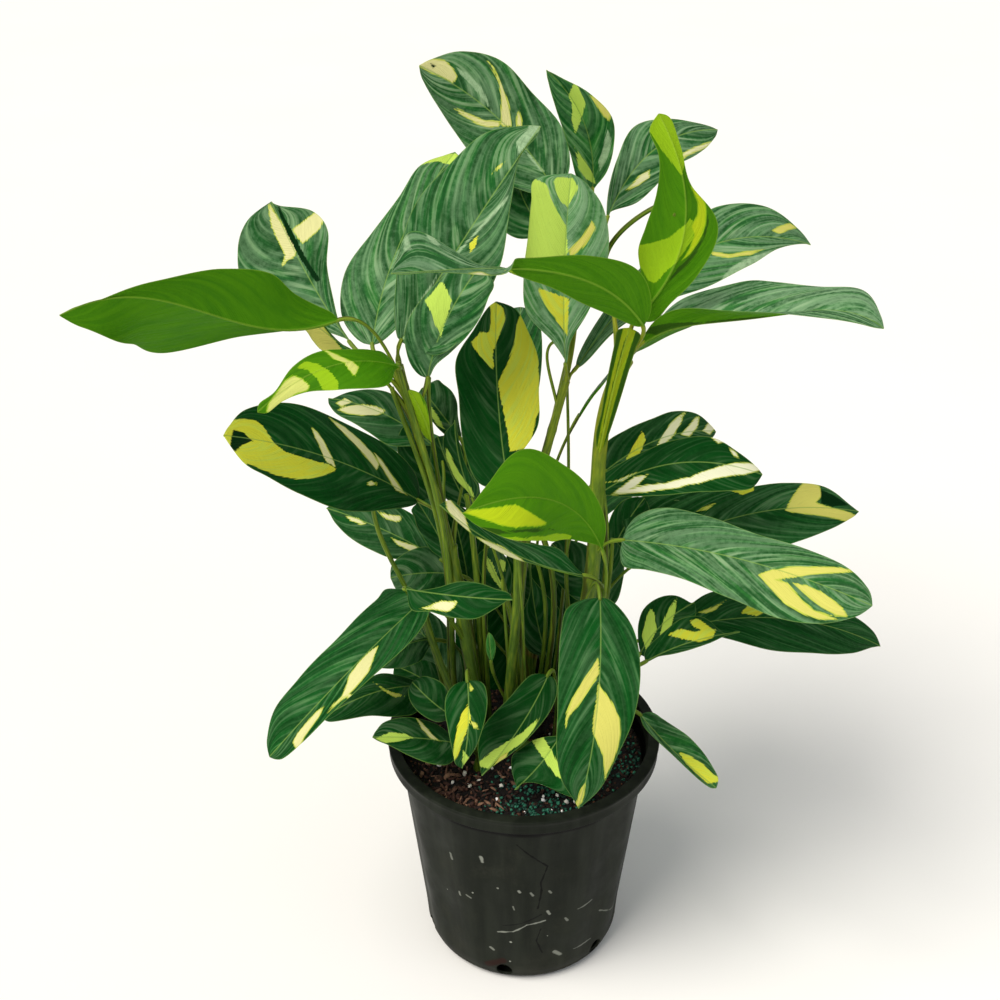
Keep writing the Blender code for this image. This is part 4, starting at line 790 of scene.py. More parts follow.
stalkLook = {
    "start": 200 * mm,            # height at which canes and stalks begin, inside the soil
    "footRadius": 2.7 * mm,       # a leaf stalk at its foot, sheath and all
    "topRadius": 1.5 * mm,        # and above its sheath
    "sheath": 0.48,               # how far up the sheath runs, of the stalk
    "swelling": 1.9 * mm,         # the smooth joint just under the blade
    "swellingLength": 14 * mm,
    "bury": 2.5 * mm,             # how far the joint runs into the blade
    "leave": 0.45, "arrive": 0.30,    # how straight a stalk leaves the cane and reaches the blade
    "sides": 12, "caneSides": 20, "innerSides": 10,
    "steps": 56, "caneSteps": 150, "innerSteps": 60,
    "squeeze": 0.22, "innerSqueeze": 0.2,    # depth of the channel along a stalk, of its radius
    "ring": 0.09, "ringWidth": 0.008,        # how far a node's ring stands out, of the radius, and its width
    "waist": 0.05, "waistFrom": 0.05, "waistTo": 0.16,    # and the waist above it, of the radius and the cane
    "poleRise": 0.3,              # how far a tube's ends bulge, of its radius
}
# a foot's radius at heights in mm
footProfile = {171: 0.90, 195: 1.0, 206: 1.0, 212: 0.93, 218: 0.78, 221.5: 0.55}

# stalks among the shoots, that stand only here: points from the top down in mm, and the radius at the top and
# at the bottom in mm
innerStalks = [
    ("109,-20,742 107,24,736 76,30,712 64,36,673", 2, 2.2),
    ("-103,-22,620 -93,-20,572 -79,-16,509 -69,-10,442 -54,15,214", 2.4, 3.2),
    ("-110,-12,593 -99,-12,556 -86,-10,511 -74,-6,454 -58,25,214", 2.1, 2.8),
    ("-79,-19,605 -76,0,515 -63,1,414 -55,18,314 -47,34,214", 1.8, 3),
    ("-91,-12,388 -83,-14,345 -69,-18,299 -60,0,214", 3.4, 3.8),
    ("-64,4,433 -58,0,367 -49,-2,303 -45,15,214", 5, 6.6),
    ("-33,11,439 -37,10,365 -34,9,289 -32,25,214", 1.9, 2.4),
    ("-51,12,479 -46,12,433 -42,12,370 -37,37,214", 2.8, 3.6),
    ("-20,6,396 -16,-12,342 -13,1,278 -12,15,214", 1.6, 2.4),
    ("-15,-19,503 -7,-14,407 -12,-11,310 -15,4,214", 3.3, 6.4),
    ("5,23,420 19,20,355 16,24,284 11,34,214", 1.9, 2.4),
    ("9,23,448 26,20,375 23,24,294 17,37,214", 2.8, 3.4),
    ("21,12,622 17,24,602 22,23,577 27,21,551", 1.3, 1.5),
    ("34,37,587 38,50,497 38,46,403 33,47,308 27,50,214", 1.4, 2),
    ("65,6,489 71,11,399 62,12,306 49,15,214", 2.4, 3),
    ("-127,-8,502 -122,0,433 -94,0,362 -77,10,288 -64,25,214", 2.1, 2.5),
    ("78,30,424 74,20,361 65,25,288 57,30,214", 1.8, 2.4),
]


def stalkPath(start, way, end, endWay, arrive, t):
    # a cubic that leaves start along way and reaches end along endWay, each held for a share of the distance
    reach = np.linalg.norm(end - start)
    handles = [start, start + stalkLook["leave"] * reach * way, end - arrive * reach * endWay, end]
    t = t[:, None]
    weights = [(1 - t) ** 3, 3 * t * (1 - t) ** 2, 3 * t * t * (1 - t), t ** 3]
    return sum(weight * handle for weight, handle in zip(weights, handles))


def sweptTube(path, radii, sides, squeeze=0.0):
    # a closed tube: a ring of the given radius round every point of the path, in a frame carried along it
    # with no twist, pressed in by `squeeze` on one side, and a pole at both ends; then the faces, the way
    # along in mm and the angle round of each point
    along = unit(np.gradient(path, axis=0))
    across = np.cross(along[0], (0.0, 1.0, 0.0) if abs(along[0, 1]) < 0.9 else (1.0, 0.0, 0.0))
    frames = []
    for way in along:
        across = across - way * (across * way).sum()
        across = across / np.linalg.norm(across)
        frames.append(across)
    across = np.array(frames)
    beside = np.cross(along, across)
    angle = np.linspace(0, tau, sides, endpoint=False)
    shape = 1 - squeeze * np.exp(-((angle - math.pi) / 0.5) ** 2)
    ring = across[:, None] * np.cos(angle)[:, None] + beside[:, None] * np.sin(angle)[:, None]
    points = path[:, None] + ring * (radii[:, None] * shape)[..., None]
    rise = stalkLook["poleRise"]
    poles = [path[0] - along[0] * radii[0] * rise, path[-1] + along[-1] * radii[-1] * rise]
    steps = lengths(path) / mm
    run = np.append(np.repeat(steps, sides), [0.0, steps[-1]])
    turn = np.append(np.tile(angle, len(path)), [0.0, 0.0])
    return np.concatenate([points.reshape(-1, 3), poles]), closedFaces(len(path), sides), run, turn


def joinTubes(name, tubes, *nodes):
    # one piece from several tubes, each with how much a point is a joint, how golden it is and its seed
    starts = np.cumsum([0] + [len(tube[0]) for tube in tubes])
    faces = [face + start for tube, start in zip(tubes, starts) for face in tube[1]]
    growth = [np.stack([joint + 0 * run, gold + 0 * run, 0 * run], -1) for _, _, run, _, joint, gold, _ in tubes]
    stalk = [np.stack([run, turn, seed + 0 * run], -1) for _, _, run, turn, _, _, seed in tubes]
    attributes = {"growth": np.concatenate(growth), "stalk": np.concatenate(stalk)}
    piece = makePiece(name, np.concatenate([tube[0] for tube in tubes]), faces, attributes,
                      materials=(stalkMaterial,))
    settle(piece, "stem", *nodes)


def caneLine(form, t):
    # places and directions along a shoot's cane
    low = [*form["foot"], stalkLook["start"] / mm]
    return curveThrough(np.vstack([low, rowsOf(form["cane"], 1)]) * mm, t)


def buildShoot(name, form, seed):
    # the buried foot as a turned profile; the cane, tapering evenly, with a ring exp(-x^2) round each node and a
    # waist above it; and to each of its leaves a stalk that thins above its sheath and swells at the joint
    look = stalkLook
    foot = np.array([*form["foot"], 0.0]) * mm
    up = np.array([0.0, 0.0, 1.0])
    heights, swell = np.array([*footProfile.items()]).T
    footPath = foot + heights[:, None] * mm * up
    shapes = [(sweptTube(footPath, form["footRadius"] * mm * swell, look["caneSides"]), 0.0)]
    if "cane" in form:
        t = np.linspace(0, 1, look["caneSteps"])
        low, high = form["caneRadius"]
        radii = (low + (high - low) * t) * mm
        for node in form["nodes"]:
            radii = radii * (1 + look["ring"] * np.exp(-((t - node) / look["ringWidth"]) ** 2)
                             - look["waist"] * ease(node, node + look["waistFrom"], t)
                             + look["waist"] * ease(node, node + look["waistTo"], t))
        shapes.append((sweptTube(caneLine(form, t)[0], radii, look["caneSides"]), 0.0))
    for leaf in leafForms.values():
        if leaf.get("shoot") != name:
            continue
        base, along = curveThrough(rowsOf(leaf["midrib"], mm), np.array([0.0]))
        start, way = foot + look["start"] * up, up
        if "cane" in form:
            start, way = (part[0] for part in caneLine(form, np.array([leaf.get("start", 0.0)])))
        path = stalkPath(start, way, base[0] + along[0] * look["bury"], along[0],
                         leaf.get("arrive", look["arrive"]), np.linspace(0, 1, look["steps"]))
        steps = lengths(path)
        left = steps[-1] - steps
        sheath = 1 - ease(look["sheath"] * 0.55, look["sheath"] * 1.1, steps / steps[-1])
        length = min(look["swellingLength"], 0.3 * steps[-1])
        joint = ease(length * 1.25, length * 0.9, left)
        radii = look["topRadius"] + (look["footRadius"] - look["topRadius"]) * sheath
        radii = radii + (look["swelling"] - look["topRadius"]) * joint * ease(-0.2 * length, 0.25 * length, left)
        shapes.append((sweptTube(path, radii, look["sides"], look["squeeze"]),
                       np.append(np.repeat(joint, look["sides"]), joint[[0, -1]])))
    joinTubes("fine_" + name, [(*shape, joint, form.get("gold", 0.0), seed * 7.0 + number * 3.1)
                               for number, (shape, joint) in enumerate(shapes)], name)


def buildInnerStalks():
    # tubes along curves through their points, tapering evenly
    t = np.linspace(0, 1, stalkLook["innerSteps"])
    tubes = [(*sweptTube(curveThrough(rowsOf(path, mm), t)[0], (top + (low - top) * t) * mm,
                         stalkLook["innerSides"], stalkLook["innerSqueeze"]), 0.0, 0.0, 80.0 + number * 2.3)
             for number, (path, top, low) in enumerate(innerStalks)]
    joinTubes("fine_inner_stalks", tubes)


# living stalk: smooth green skin with fine ribs along it, paler at the joints under the blades, straw
# coloured and brown where old sheaths have dried near the soil, with painted shade that darkens it lower down
def makeStalkMaterial():
    material, add, shader = newMaterial("living_leaf_stalk")
    (run, turn, seed), (joint, gold, _) = (
        add("SeparateXYZ", add("Attribute", attribute_name=key, out="Vector"), out="all")
        for key in ("stalk", "growth"))
    place = add("TexCoord", out="Object")
    height = add("SeparateXYZ", place, out="Z")
    drawn = add("CombineXYZ", add("Math.MULTIPLY", run, 1 / 18), add("Math.MULTIPLY", turn, 1.6), seed)
    grain = add("TexNoise", Vector=drawn, Scale=1.0, Detail=4.0)
    patch = add("TexNoise", Vector=place, Scale=34.0, Detail=3.0)
    colour = add("ValToRGB", grain, stops=[(0.30, "#2f4f0d"), (0.72, "#8a9a26"), (0.50, "#55761a")])
    golden = chained(add, "MULTIPLY", gold, add("MapRange", grain, 0.32, 0.62, 0.35, 0.9),
                     add("MapRange", height, 0.47, 0.58))
    colour = add("Mix", golden, colour, "#8f8a12")
    # painted shade: darker lower down among the leaves, and a little painted light higher up
    colour = add("Mix", add("MapRange", height, 0.24, 0.50, 0.60, 0.0), colour, "#26400c")
    colour = add("Mix", add("Math.MULTIPLY", add("MapRange", height, 0.24, 0.50), 0.18), colour, "#8aa32a")
    colour = add("Mix", add("Math.MULTIPLY", joint, 0.25), colour, "#93ad38")
    # the dark edge of each sheath winds slowly up the stalk
    winding = add("Math.ADD", add("Math.ADD", turn, add("Math.MULTIPLY", run, 1 / 90)),
                  add("Math.ADD", seed, add("Math.MULTIPLY", grain, 0.9)))
    colour = add("Mix", add("MapRange", add("Math.SINE", winding), 0.86, 0.98, 0.0, 0.7), colour, "#3b3a12")
    dry = add("Math.MULTIPLY", add("MapRange", patch, 0.50, 0.62), add("MapRange", height, 0.30, 0.215))
    colour = add("Mix", dry, colour, "#7d5a31")
    ribs = add("Math.SINE", add("Math.MULTIPLY", turn, 9.0))
    fill(shader, {
        "Base Color": colour, "Roughness": add("MapRange", grain, 0.3, 0.7, 0.38, 0.52),
        "IOR": 1.45, "Specular IOR Level": 0.22,
        "Normal": add("Bump", Height=add("Math.ADD", ribs, grain), Strength=0.4, Distance=0.12 * mm)})
    return material


stalkMaterial = makeStalkMaterial()
for number, (name, form) in enumerate(shootForms.items()):
    buildShoot(name, form, number)
buildInnerStalks()
print("shoots built:", len(shootForms), "and", len(innerStalks), "stalks more")


# pot: a moulded nursery pot with a rim band, shallow flutes and six drain holes at the foot; in mm

potForm = {
    "height": 231, "rimRadius": 127, "topRadius": 118.5, "baseRadius": 92.5, "cornerRadius": 12,
    "wall": 2, "floor": 3,
    "band": 14, "bandDraft": 1, "lip": 1.5, "innerLip": 0.8, "bandEdge": 0.9,
    "lipStep": ((0.8, 4.2), (1.1, 5)),         # a faint step under the lip: how far in and how far down
    "bandFoot": ((1.6, 0), (0.4, 0.8)),        # where the band meets the side: how far out and how far down
    "sideFrom": 3, "sideTo": 14.4,             # the plain side: from below the band down to above the floor
    "flutes": 12, "fluteDepth": 2.4, "fluteFade": 20,
    "drains": 6, "drainRadius": 8, "drainHeight": 16, "drainInset": 4, "drainReach": 15,
    "drainPitch": 0.55, "drainTurn": -101,    # how steeply a hole runs down, and the first one's angle in degrees
    "sides": 240, "drainSides": 28, "cell": 6,
    "sharp": 38,
}


def arc(centre, radius, first, last, steps=7):
    # points round part of a circle, angles in degrees
    angle = np.radians(np.linspace(first, last, steps))
    return np.stack([centre[0] + radius * np.cos(angle), centre[1] + radius * np.sin(angle)], axis=-1)


def sideRadius(height):
    # outside radius of the plain tapered side at a height, in mm
    return potForm["baseRadius"] + (potForm["topRadius"] - potForm["baseRadius"]) * height / potForm["height"]


def evenly(points, step):
    # the same line of points with none further apart than step
    parts = [np.linspace(a, b, max(int(np.ceil(np.linalg.norm(b - a) / step)), 1), endpoint=False)
             for a, b in zip(points[:-1], points[1:])]
    return np.concatenate(parts + [points[-1:]])


def potSection():
    # radius and height from the middle of the inner floor, up the inside, over the lip and down the outside
    f = potForm
    height, rim, corner, wall, lip = f["height"], f["rimRadius"], f["cornerRadius"], f["wall"], f["lip"]
    band = height - f["band"]
    centre = f["baseRadius"] - corner
    inner, edge = f["innerLip"], f["bandEdge"]
    parts = [
        [(0, f["floor"])],
        arc((centre, corner + f["floor"] - wall), corner - wall, -90, 0),
        [(sideRadius(band) - wall, band)],
        arc((sideRadius(height) - wall + inner, height - inner), inner, 180, 90, 4),
        arc((rim - lip, height - lip), lip, 90, 0, 6),
        [(rim - back, height - down) for back, down in f["lipStep"]],
        arc((rim - f["bandDraft"] - edge, band + edge), edge, 0, -90, 5),
        [(sideRadius(band) + out, band - down) for out, down in f["bandFoot"]],
        [(sideRadius(place), place) for place in (band - f["sideFrom"], f["sideTo"])],
        arc((centre, corner), corner, 0, -90),
        [(0, 0)],
    ]
    return evenly(np.concatenate([np.asarray(part, float) for part in parts]), f["cell"])


def fluted(points):
    # pressed in by depth (1 - cos(12 turns)) / 2 between the foot and the band
    f = potForm
    x, y, z = points.T
    low = np.clip((z - f["cornerRadius"]) / f["fluteFade"], 0, 1)
    high = np.clip((f["height"] - f["band"] - 2 * f["lip"] - z) / f["fluteFade"], 0, 1)
    press = f["fluteDepth"] * low * high * (0.5 - 0.5 * np.cos(f["flutes"] * np.arctan2(y, x)))
    scale = 1 - press / np.maximum(np.hypot(x, y), 10)
    return np.stack([x * scale, y * scale, z], axis=-1)


def turned(rings, first, last, sides):
    # points of a closed solid turned about Z: rings of (radius, height), then the first and the last pole on the
    # axis at their heights
    angle = np.linspace(0, tau, sides, endpoint=False)
    radius, height = rings.T[..., None]
    points = np.stack([radius * np.cos(angle), radius * np.sin(angle), height + 0 * angle], axis=-1)
    return np.concatenate([points.reshape(-1, 3), [(0, 0, first), (0, 0, last)]])


def drainCutters():
    # round bars, each on the way out and down through the foot of the wall
    f = potForm
    bars = []
    for number in range(f["drains"]):
        angle = math.radians(f["drainTurn"]) + tau * number / f["drains"]
        out = np.array([math.cos(angle), math.sin(angle), 0.0])
        way = unit(out - (0, 0, f["drainPitch"]))
        middle = out * (f["baseRadius"] - f["drainInset"]) + (0, 0, f["drainHeight"])
        path = middle + np.array([[-1], [1]]) * f["drainReach"] * way
        bars.append(sweptTube(path * mm, np.full(2, f["drainRadius"] * mm), f["drainSides"])[:2])
    count = len(bars[0][0])
    faces = [part + count * number for number, (_, sides) in enumerate(bars) for part in sides]
    return makePiece("drain_cutters", np.concatenate([points for points, _ in bars]), faces, smooth=False)


def buildPot():
    section = potSection()
    points = fluted(turned(section[1:-1], section[0, 1], section[-1, 1], potForm["sides"])) * mm
    pot = makePiece("fine_pot", points, closedFaces(len(section) - 2, potForm["sides"]))
    cutters = drainCutters()
    holes = pot.modifiers.new("drain holes", "BOOLEAN")
    holes.operation = "DIFFERENCE"
    holes.solver = "EXACT"
    holes.object = cutters
    bpy.context.view_layer.update()
    mesh = bpy.data.meshes.new_from_object(pot.evaluated_get(bpy.context.evaluated_depsgraph_get()))
    pot.modifiers.clear()
    pot.data = mesh
    bpy.data.objects.remove(cutters, do_unlink=True)
    mesh.shade_smooth()
    mesh.set_sharp_from_angle(angle=math.radians(potForm["sharp"]))
    mesh.materials.clear()
    mesh.materials.append(makePotMaterial())
    settle(pot, "pot", "pot")


# black polypropylene, injection moulded: a dull satin skin that has greyed with dust and hard water, with
# fine scuffs near its foot
potLook = {
    "plastic": "#171b15", "worn": "#22261f", "dust": "#4a4a40", "scuff": "#a3a79c", "stain": "#030403",
    "earth": "#2a1712",
    # lines on the front: colour, how wide in mm, how strong, and their points across and up in mm
    "lines": [
        ("stain", 1.1, 0.95, "-7,194 7,178 21,162 15,141 16,130 13,106"),
        ("stain", 1, 0.85, "16,75 12,59 18,39"), ("stain", 1, 0.8, "-19,79 -3,86 16,96"),
        ("scuff", 1.2, 0.6, "-24,68 -10,73 3,84 20,86"), ("scuff", 0.9, 0.4, "51,92 64,93"),
        ("scuff", 0.9, 0.35, "48,34 65,31"), ("scuff", 0.9, 0.35, "73,66 88,48"),
        ("scuff", 2, 0.6, "-39,169 -38,163"), ("scuff", 1.3, 0.4, "-67,158 -66,151"),
        ("scuff", 1.3, 0.45, "-60,110 -59,106"), ("scuff", 1.5, 0.45, "-53,111 -49,109"),
        ("scuff", 1.8, 0.6, "-5,132 -4,130"), ("scuff", 1.4, 0.45, "6,129 8,125"),
        ("scuff", 1.2, 0.4, "23,127 25,124"), ("scuff", 1.2, 0.4, "-10,109 -9,105"),
        ("scuff", 1.6, 0.6, "22,99 24,94"), ("scuff", 1.3, 0.4, "39,84 41,80"),
        ("scuff", 3, 0.5, "30,37 35,32"), ("scuff", 1.6, 0.5, "-31,43 -28,40"),
        ("earth", 5, 0.85, "-33,19 -19,27"),
    ],
}


def lineMask(add, flat, first, last, width, wobble):
    # 1 on the line from first to last and 0 beyond its width: the distance to the nearest point along it
    start = Vector((first[0], 0, first[1])) * mm
    run = Vector((last[0], 0, last[1])) * mm - start
    offset = add("VectorMath.SUBTRACT", flat, start)
    share = add("Clamp", add("VectorMath.DOT_PRODUCT", offset, run / run.length_squared))
    away = add("VectorMath.DISTANCE", offset, add("VectorMath.SCALE", run, share))
    return add("MapRange", add("Math.ADD", away, wobble), 0.35 * width * mm, width * mm, 1.0, 0.0)


def makePotMaterial():
    material, add, shader = newMaterial("moulded_polypropylene_pot")
    place = add("TexCoord", out="Object")
    x, y, height = add("SeparateXYZ", place, out="all")
    tall = add("Mapping", Vector=place, Scale=(1.0, 1.0, 0.06))
    streak = add("TexNoise", Vector=tall, Scale=70.0, Detail=4.0)
    cloud = add("TexNoise", Vector=place, Scale=26.0, Detail=6.0, Roughness=0.6)
    grain = add("TexNoise", Vector=place, Scale=420.0, Detail=3.0)
    colour = add("Mix", add("MapRange", streak, 0.35, 0.70), potLook["plastic"], potLook["worn"])
    # dust all over, and more of it near the floor
    for first, second in (((cloud, 0.50, 0.75, 0.0, 0.20), (grain, 0.3, 0.7, 0.5, 1.0)),
                          ((height, 0.055, 0.0, 0.0, 0.25), (cloud, 0.4, 0.6))):
        dust = add("Math.MULTIPLY", add("MapRange", *first), add("MapRange", *second))
        colour = add("Mix", dust, colour, potLook["dust"])
    # painted shade: a dark ring in the corner under the rim band, where the band's shadow falls
    band = (potForm["height"] - potForm["band"]) * mm
    paintedBandShade = add("Math.MULTIPLY", add("MapRange", height, band - 14.5 * mm, band - 11 * mm),
                add("MapRange", height, band + 1.2 * mm, band))
    colour = add("Mix", paintedBandShade, colour, potLook["stain"])
    # pale specks, about one in each 12 mm, of 0.6 to 1.4 mm
    distance, cell = add("TexVoronoi", Vector=place, Scale=85.0, out="all")[:2]
    size = add("MapRange", add("SeparateColor", cell), 0.74, 1.0, 0.0, 0.11)
    speck = chained(add, "MULTIPLY", add("Math.LESS_THAN", distance, size),
                    add("MapRange", height, 0.17, 0.11), 0.75)
    colour = add("Mix", speck, colour, potLook["scuff"])
    # lines of unsteady width on the front
    flat = add("CombineXYZ", x, 0.0, height)
    front = add("MapRange", y, 0.0, -0.02)
    wander = add("Math.SUBTRACT", add("TexNoise", Vector=place, Scale=160.0, Detail=2.0), 0.5)
    wobble = add("Math.MULTIPLY", wander, 2.4 * mm)
    for paint, width, strength, text in potLook["lines"]:
        points = rowsOf(text, 1)
        for first, last in zip(points[:-1], points[1:]):
            mask = add("Math.MULTIPLY", lineMask(add, flat, first, last, width, wobble),
                       add("Math.MULTIPLY", front, strength))
            colour = add("Mix", mask, colour, potLook[paint])
    bumps = add("Math.ADD", add("Math.MULTIPLY", grain, 0.35), add("Math.ADD", streak, cloud))
    fill(shader, {
        "Base Color": colour, "Roughness": add("MapRange", cloud, 0.3, 0.7, 0.44, 0.62),
        "IOR": 1.49, "Specular IOR Level": 0.07,
        "Normal": add("Bump", Height=bumps, Strength=0.25, Distance=0.35 * mm)})
    return material


buildPot()
print("pot built")


# soil: a crowned body of potting mix, with crumbs, bark, granules and perlite lying on it; in mm

soilForm = {
    "top": 210, "crown": 4, "crownRadius": 112, "relief": 0.704, "clear": 4.2, "low": 3.3, "edgeDrop": 1.2,
    "sideHeights": (190, 150, 110, 70, 30), "rings": 70, "sides": 200,
    "waves": 26, "wavesFrom": 60, "wavesTo": 620,      # how many lumps, and their range in radians a metre
    "reach": 110.5,                                    # how far out loose bits lie
}
dice = np.random.default_rng(11)
waveWays = dice.normal(0, 1, (soilForm["waves"], 2))
waveWays = waveWays * np.linspace(soilForm["wavesFrom"], soilForm["wavesTo"], soilForm["waves"])[:, None]
wavePhases = dice.uniform(0, tau, soilForm["waves"])


def soilHeight(x, y):
    # the crown, lower towards the wall, with lumps as a sum of waves whose height falls with their number
    lumps = np.zeros_like(x)
    for number, (way, phase) in enumerate(zip(waveWays, wavePhases)):
        lumps += np.sin(way[0] * x + way[1] * y + phase) / (2 + number) ** 0.7
    crown = soilForm["crown"] * (np.hypot(x, y) / (soilForm["crownRadius"] * mm)) ** 2
    return (soilForm["top"] - crown + soilForm["relief"] * lumps) * mm


def buildSoil():
    # rings on the lumpy top, closer towards the wall, then rings down the side just clear of the pot
    f = soilForm
    angle = np.linspace(0, tau, f["sides"], endpoint=False)
    radii = (sideRadius(f["top"]) - f["clear"]) * mm * np.linspace(0, 1, f["rings"] + 1)[1:] ** 0.85
    x, y = radii[:, None] * np.cos(angle), radii[:, None] * np.sin(angle)
    z = soilHeight(x, y)
    z[-1] -= f["edgeDrop"] * mm
    foot = potForm["baseRadius"] - potForm["cornerRadius"] - potForm["wall"]
    side = [(sideRadius(height) - f["clear"], height) for height in f["sideHeights"]] + [(foot, f["low"])]
    middle = soilHeight(np.zeros(1), np.zeros(1))[0]
    skirt = turned(np.array(side) * mm, middle, f["low"] * mm, f["sides"])
    points = np.concatenate([np.stack([x, y, z], axis=-1).reshape(-1, 3), skirt])
    soil = makePiece("fine_soil", points, closedFaces(f["rings"] + len(side), f["sides"]),
                     materials=(soilMaterials["damp_potting_mix"],))
    settle(soil, "soil", "soil")


def grains(name, places, sizes, flatten, material, seed):
    # one small twenty-faced lump at each place: its corners pushed about, stretched and turned at random by
    # the matrix of a random quaternion
    rolls = np.random.default_rng(seed)
    golden = (1 + 5 ** 0.5) / 2
    corner = np.array([(-1, golden, 0), (1, golden, 0), (-1, -golden, 0), (1, -golden, 0), (0, -1, golden),
                       (0, 1, golden), (0, -1, -golden), (0, 1, -golden), (golden, 0, -1), (golden, 0, 1),
                       (-golden, 0, -1), (-golden, 0, 1)]) / 1.902
    face = rowsOf("0,11,5 0,5,1 0,1,7 0,7,10 0,10,11 1,5,9 5,11,4 11,10,2 10,7,6 7,1,8 3,9,4 3,4,2 3,2,6 3,6,8 "
                  "3,8,9 4,9,5 2,4,11 6,2,10 8,6,7 9,8,1", 1).astype(int)
    count = len(places)
    lump = corner + rolls.normal(0, 0.16, (count, 12, 3))
    lump = lump * rolls.uniform(0.7, 1.3, (count, 1, 3)) * np.asarray(flatten)
    w, x, y, z = unit(rolls.normal(0, 1, (count, 4))).T
    turn = np.array([[1 - 2 * (y * y + z * z), 2 * (x * y - z * w), 2 * (x * z + y * w)],
                     [2 * (x * y + z * w), 1 - 2 * (x * x + z * z), 2 * (y * z - x * w)],
                     [2 * (x * z - y * w), 2 * (y * z + x * w), 1 - 2 * (x * x + y * y)]])
    points = np.einsum("ijn,nkj->nki", turn, lump) * np.asarray(sizes)[:, None, None] + places[:, None]
    faces = (face[None] + np.arange(count)[:, None, None] * 12).reshape(-1, 3)
    tint = np.repeat(rolls.uniform(0, 1, (count, 3)), 12, axis=0)
    settle(makePiece(name, points, [faces], {"tint": tint}, None, (material,), smooth=False), "soil")


def onSoil(count, centre, spread, seed, lift):
    # places on the soil round a centre, kept inside the pot and off the shoots' feet
    rolls = np.random.default_rng(seed)
    x, y = rolls.normal(0, 1, (2, count * 6)) * spread * mm + np.array(centre)[:, None] * mm
    keep = np.hypot(x, y) < soilForm["reach"] * mm
    for form in shootForms.values():
        keep &= np.hypot(x - form["foot"][0] * mm, y - form["foot"][1] * mm) > (form["footRadius"] + 1) * mm
    x, y = x[keep][:count], y[keep][:count]
    return np.stack([x, y, soilHeight(x, y) + lift * mm], axis=-1)


# potting mix: peat and composted bark, damp, so it is nearly black with red-brown and straw-coloured bits;
# bark chips are drier and paler, feed granules have a blue-green resin coat, and perlite is white foamed
# glass. Each has its colours from dark to light, its roughness, its pattern's scale and its bumps in mm
soilLooks = {
    "damp_potting_mix": ([(0.0, "#0b0908"), (1.0, "#4a2f22"), (0.5, "#1c1310")], 0.92, 260.0, 1.2),
    "potting_mix_crumbs": ([(0.0, "#0d0a09"), (1.0, "#5d3c2b"), (0.55, "#21150f"), (0.85, "#3b241b")],
                           0.90, 500.0, 0.4),
    "bark_chips": ([(0.0, "#1c1310"), (1.0, "#8d6a54"), (0.55, "#4a2e24")], 0.80, 380.0, 0.5),
    "coated_feed_granules": ([(0.0, "#04241c"), (1.0, "#2f7a60"), (0.5, "#0b4032")], 0.55, 300.0, 0.2),
    "expanded_perlite": ([(0.0, "#cfcabd"), (1.0, "#ffffff"), (0.5, "#ece8de")], 0.95, 700.0, 0.4),
}


def makeSoilMaterial(name, stops, roughness, scale, depth):
    material, add, shader = newMaterial(name)
    roll = add("SeparateXYZ", add("Attribute", attribute_name="tint", out="Vector"))
    noise = add("TexNoise", Vector=add("TexCoord", out="Object"), Scale=scale, Detail=5.0, Roughness=0.65)
    mixed = add("Math.ADD", roll, add("Math.SUBTRACT", noise, 0.45))
    fill(shader, {
        "Base Color": add("ValToRGB", mixed, stops=stops), "IOR": 1.4,
        "Roughness": add("MapRange", noise, 0.3, 0.7, roughness - 0.08, roughness + 0.05),
        "Normal": add("Bump", Height=noise, Strength=0.8, Distance=depth * mm)})
    return material


# loose bits: their heaps as how many, where, how widely strewn in mm and a seed; how high they lie and their
# least and greatest radius in mm, how they are stretched, their material and their own seed
looseBits = {
    "bark_chips": ([(170, (-60, -62), 26, 31)], 1.0, (2.2, 4.5), (1.5, 0.55, 0.35), "bark_chips", 22),
    "feed_granules": ([(413, (12, -92), 30, 32), (206, (85, -10), 20, 33)], 0.7, (1.1, 1.9), (1.0, 1.0, 1.0),
                      "coated_feed_granules", 23),
    "perlite": ([(44, (-10, -50), 55, 34)], 0.9, (1.2, 2.8), (1.0, 0.9, 0.8), "expanded_perlite", 24),
}
crumbs = {"count": 2300, "lift": 0.4, "least": 0.9, "most": 2.4, "flatten": (1.0, 0.8, 0.7), "seed": 21}


def strewBits():
    # crumbs all over, as likely on each part of the area: at the reach times the root of a random share, turned
    # at random; then the heaps
    rolls = np.random.default_rng(5)
    count = crumbs["count"]
    radius = np.sqrt(rolls.uniform(0, 1, count)) * soilForm["reach"] * mm
    turn = rolls.uniform(0, tau, count)
    x, y = radius * np.cos(turn), radius * np.sin(turn)
    places = np.stack([x, y, soilHeight(x, y) + crumbs["lift"] * mm], -1)
    sizes = rolls.uniform(crumbs["least"] * mm, crumbs["most"] * mm, count)
    grains("soil_crumbs", places, sizes, crumbs["flatten"], soilMaterials["potting_mix_crumbs"], crumbs["seed"])
    for name, (heaps, lift, (least, most), flatten, finish, seed) in looseBits.items():
        places = np.concatenate([onSoil(*heap, lift) for heap in heaps])
        sizes = rolls.uniform(least * mm, most * mm, len(places))
        grains(name, places, sizes, flatten, soilMaterials[finish], seed)


soilMaterials = {name: makeSoilMaterial(name, *look) for name, look in soilLooks.items()}
buildSoil()
strewBits()
print("soil built")


# stage: a pale matt floor under an even sky, soft sunlight from high on the left and a fill from the right

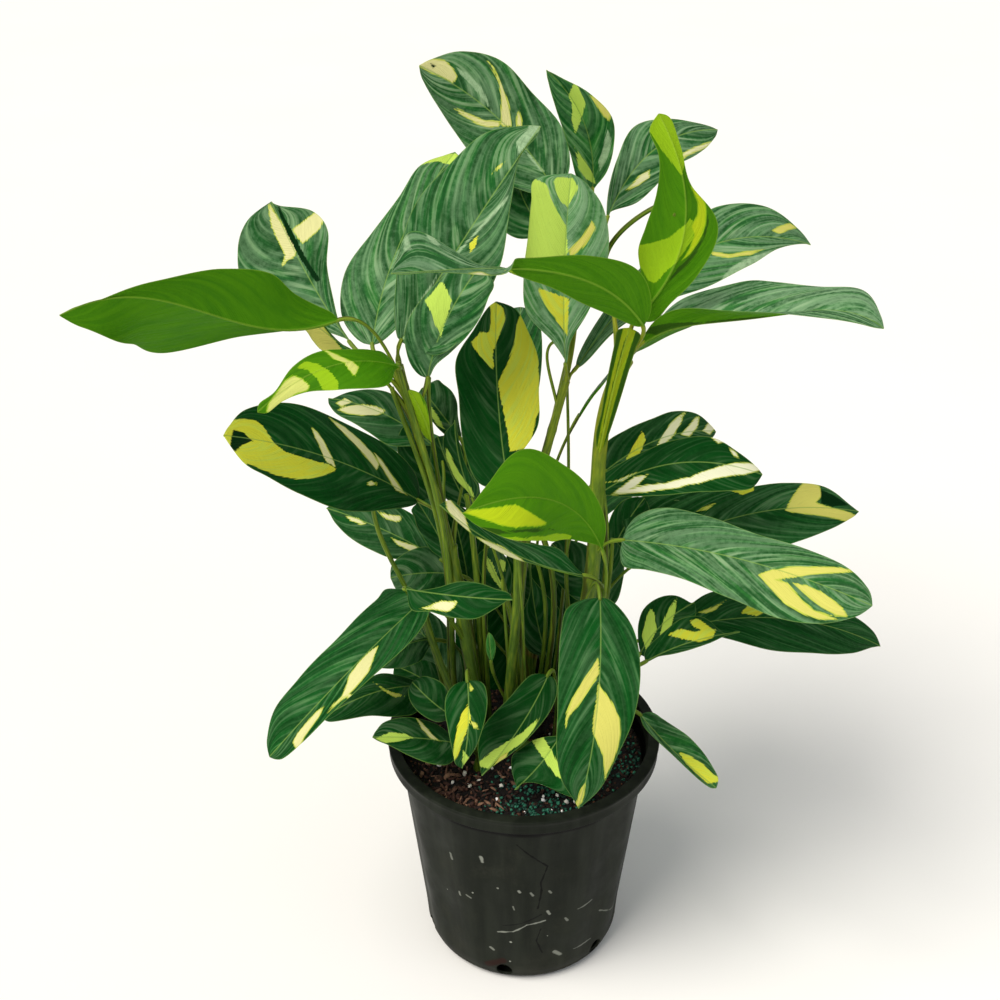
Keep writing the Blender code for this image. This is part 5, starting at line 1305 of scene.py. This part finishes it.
stageForm = {
    "floor": ("#efefed", "#f4f4f2"), "floorHalf": 9.0, "floorDrop": 0.2 * mm,
    "sun": dict(way=(0.55, 0.40, -0.95), power=3.1, spread=40, colour="#fff9f0"),
    "fill": dict(place=(1.9, -1.2, 1.4), aim=(0.0, 0.0, 0.35), size=2.0, power=7.0, colour="#eef4ff"),
    "sky": 0.42,
    # the photograph was taken from a little above the leaves, looking 30 degrees down
    "eye": (-0.022, -1.12, 1.13), "down": 30.1, "lens": 54.54, "sensor": 36.0, "far": 60.0,
}


def buildFloor():
    half, z = stageForm["floorHalf"], -stageForm["floorDrop"]
    mesh = bpy.data.meshes.new("studio_floor")
    mesh.from_pydata([(-half, -half, z), (half, -half, z), (half, half, z), (-half, half, z)], [], [(0, 1, 2, 3)])
    # painted board: matt and nearly white, with the faintest clouding
    material, add, shader = newMaterial("painted_board")
    cloud = add("TexNoise", Vector=add("TexCoord", out="Object"), Scale=2.5)
    fill(shader, {"Base Color": add("Mix", cloud, *stageForm["floor"]), "Roughness": 0.95})
    mesh.materials.append(material)
    linkObject("studio_floor", mesh)


def addLight(name, kind, form):
    # a sun shines along its way, and a round lamp from its place towards its aim
    light = bpy.data.lights.new(name, kind)
    light.energy = form["power"]
    light.color = srgb(form["colour"])[:3]
    lamp = linkObject(name, light)
    if kind == "SUN":
        light.angle = math.radians(form["spread"])
        way = Vector(form["way"])
    else:
        light.shape = "DISK"
        light.size = form["size"]
        lamp.location = form["place"]
        way = Vector(form["aim"]) - Vector(form["place"])
    lamp.rotation_euler = way.to_track_quat("-Z", "Y").to_euler()


def buildStage():
    buildFloor()
    addLight("sun_light", "SUN", stageForm["sun"])
    addLight("fill_light", "AREA", stageForm["fill"])
    world = bpy.data.worlds.new("studio_sky")
    world.use_nodes = True
    fill(world.node_tree.nodes["Background"], {"Color": (1.0, 1.0, 1.0, 1.0), "Strength": stageForm["sky"]})
    bpy.context.scene.world = world
    bpy.context.scene.view_settings.view_transform = "Standard"
    camera = bpy.data.cameras.new("photo_camera")
    camera.lens = stageForm["lens"]
    camera.sensor_width = stageForm["sensor"]
    camera.clip_end = stageForm["far"]
    seat = linkObject("photo_camera", camera)
    seat.location = stageForm["eye"]
    seat.rotation_euler = (math.radians(90 - stageForm["down"]), 0.0, 0.0)
    bpy.context.scene.camera = seat


buildStage()
print("stage set")
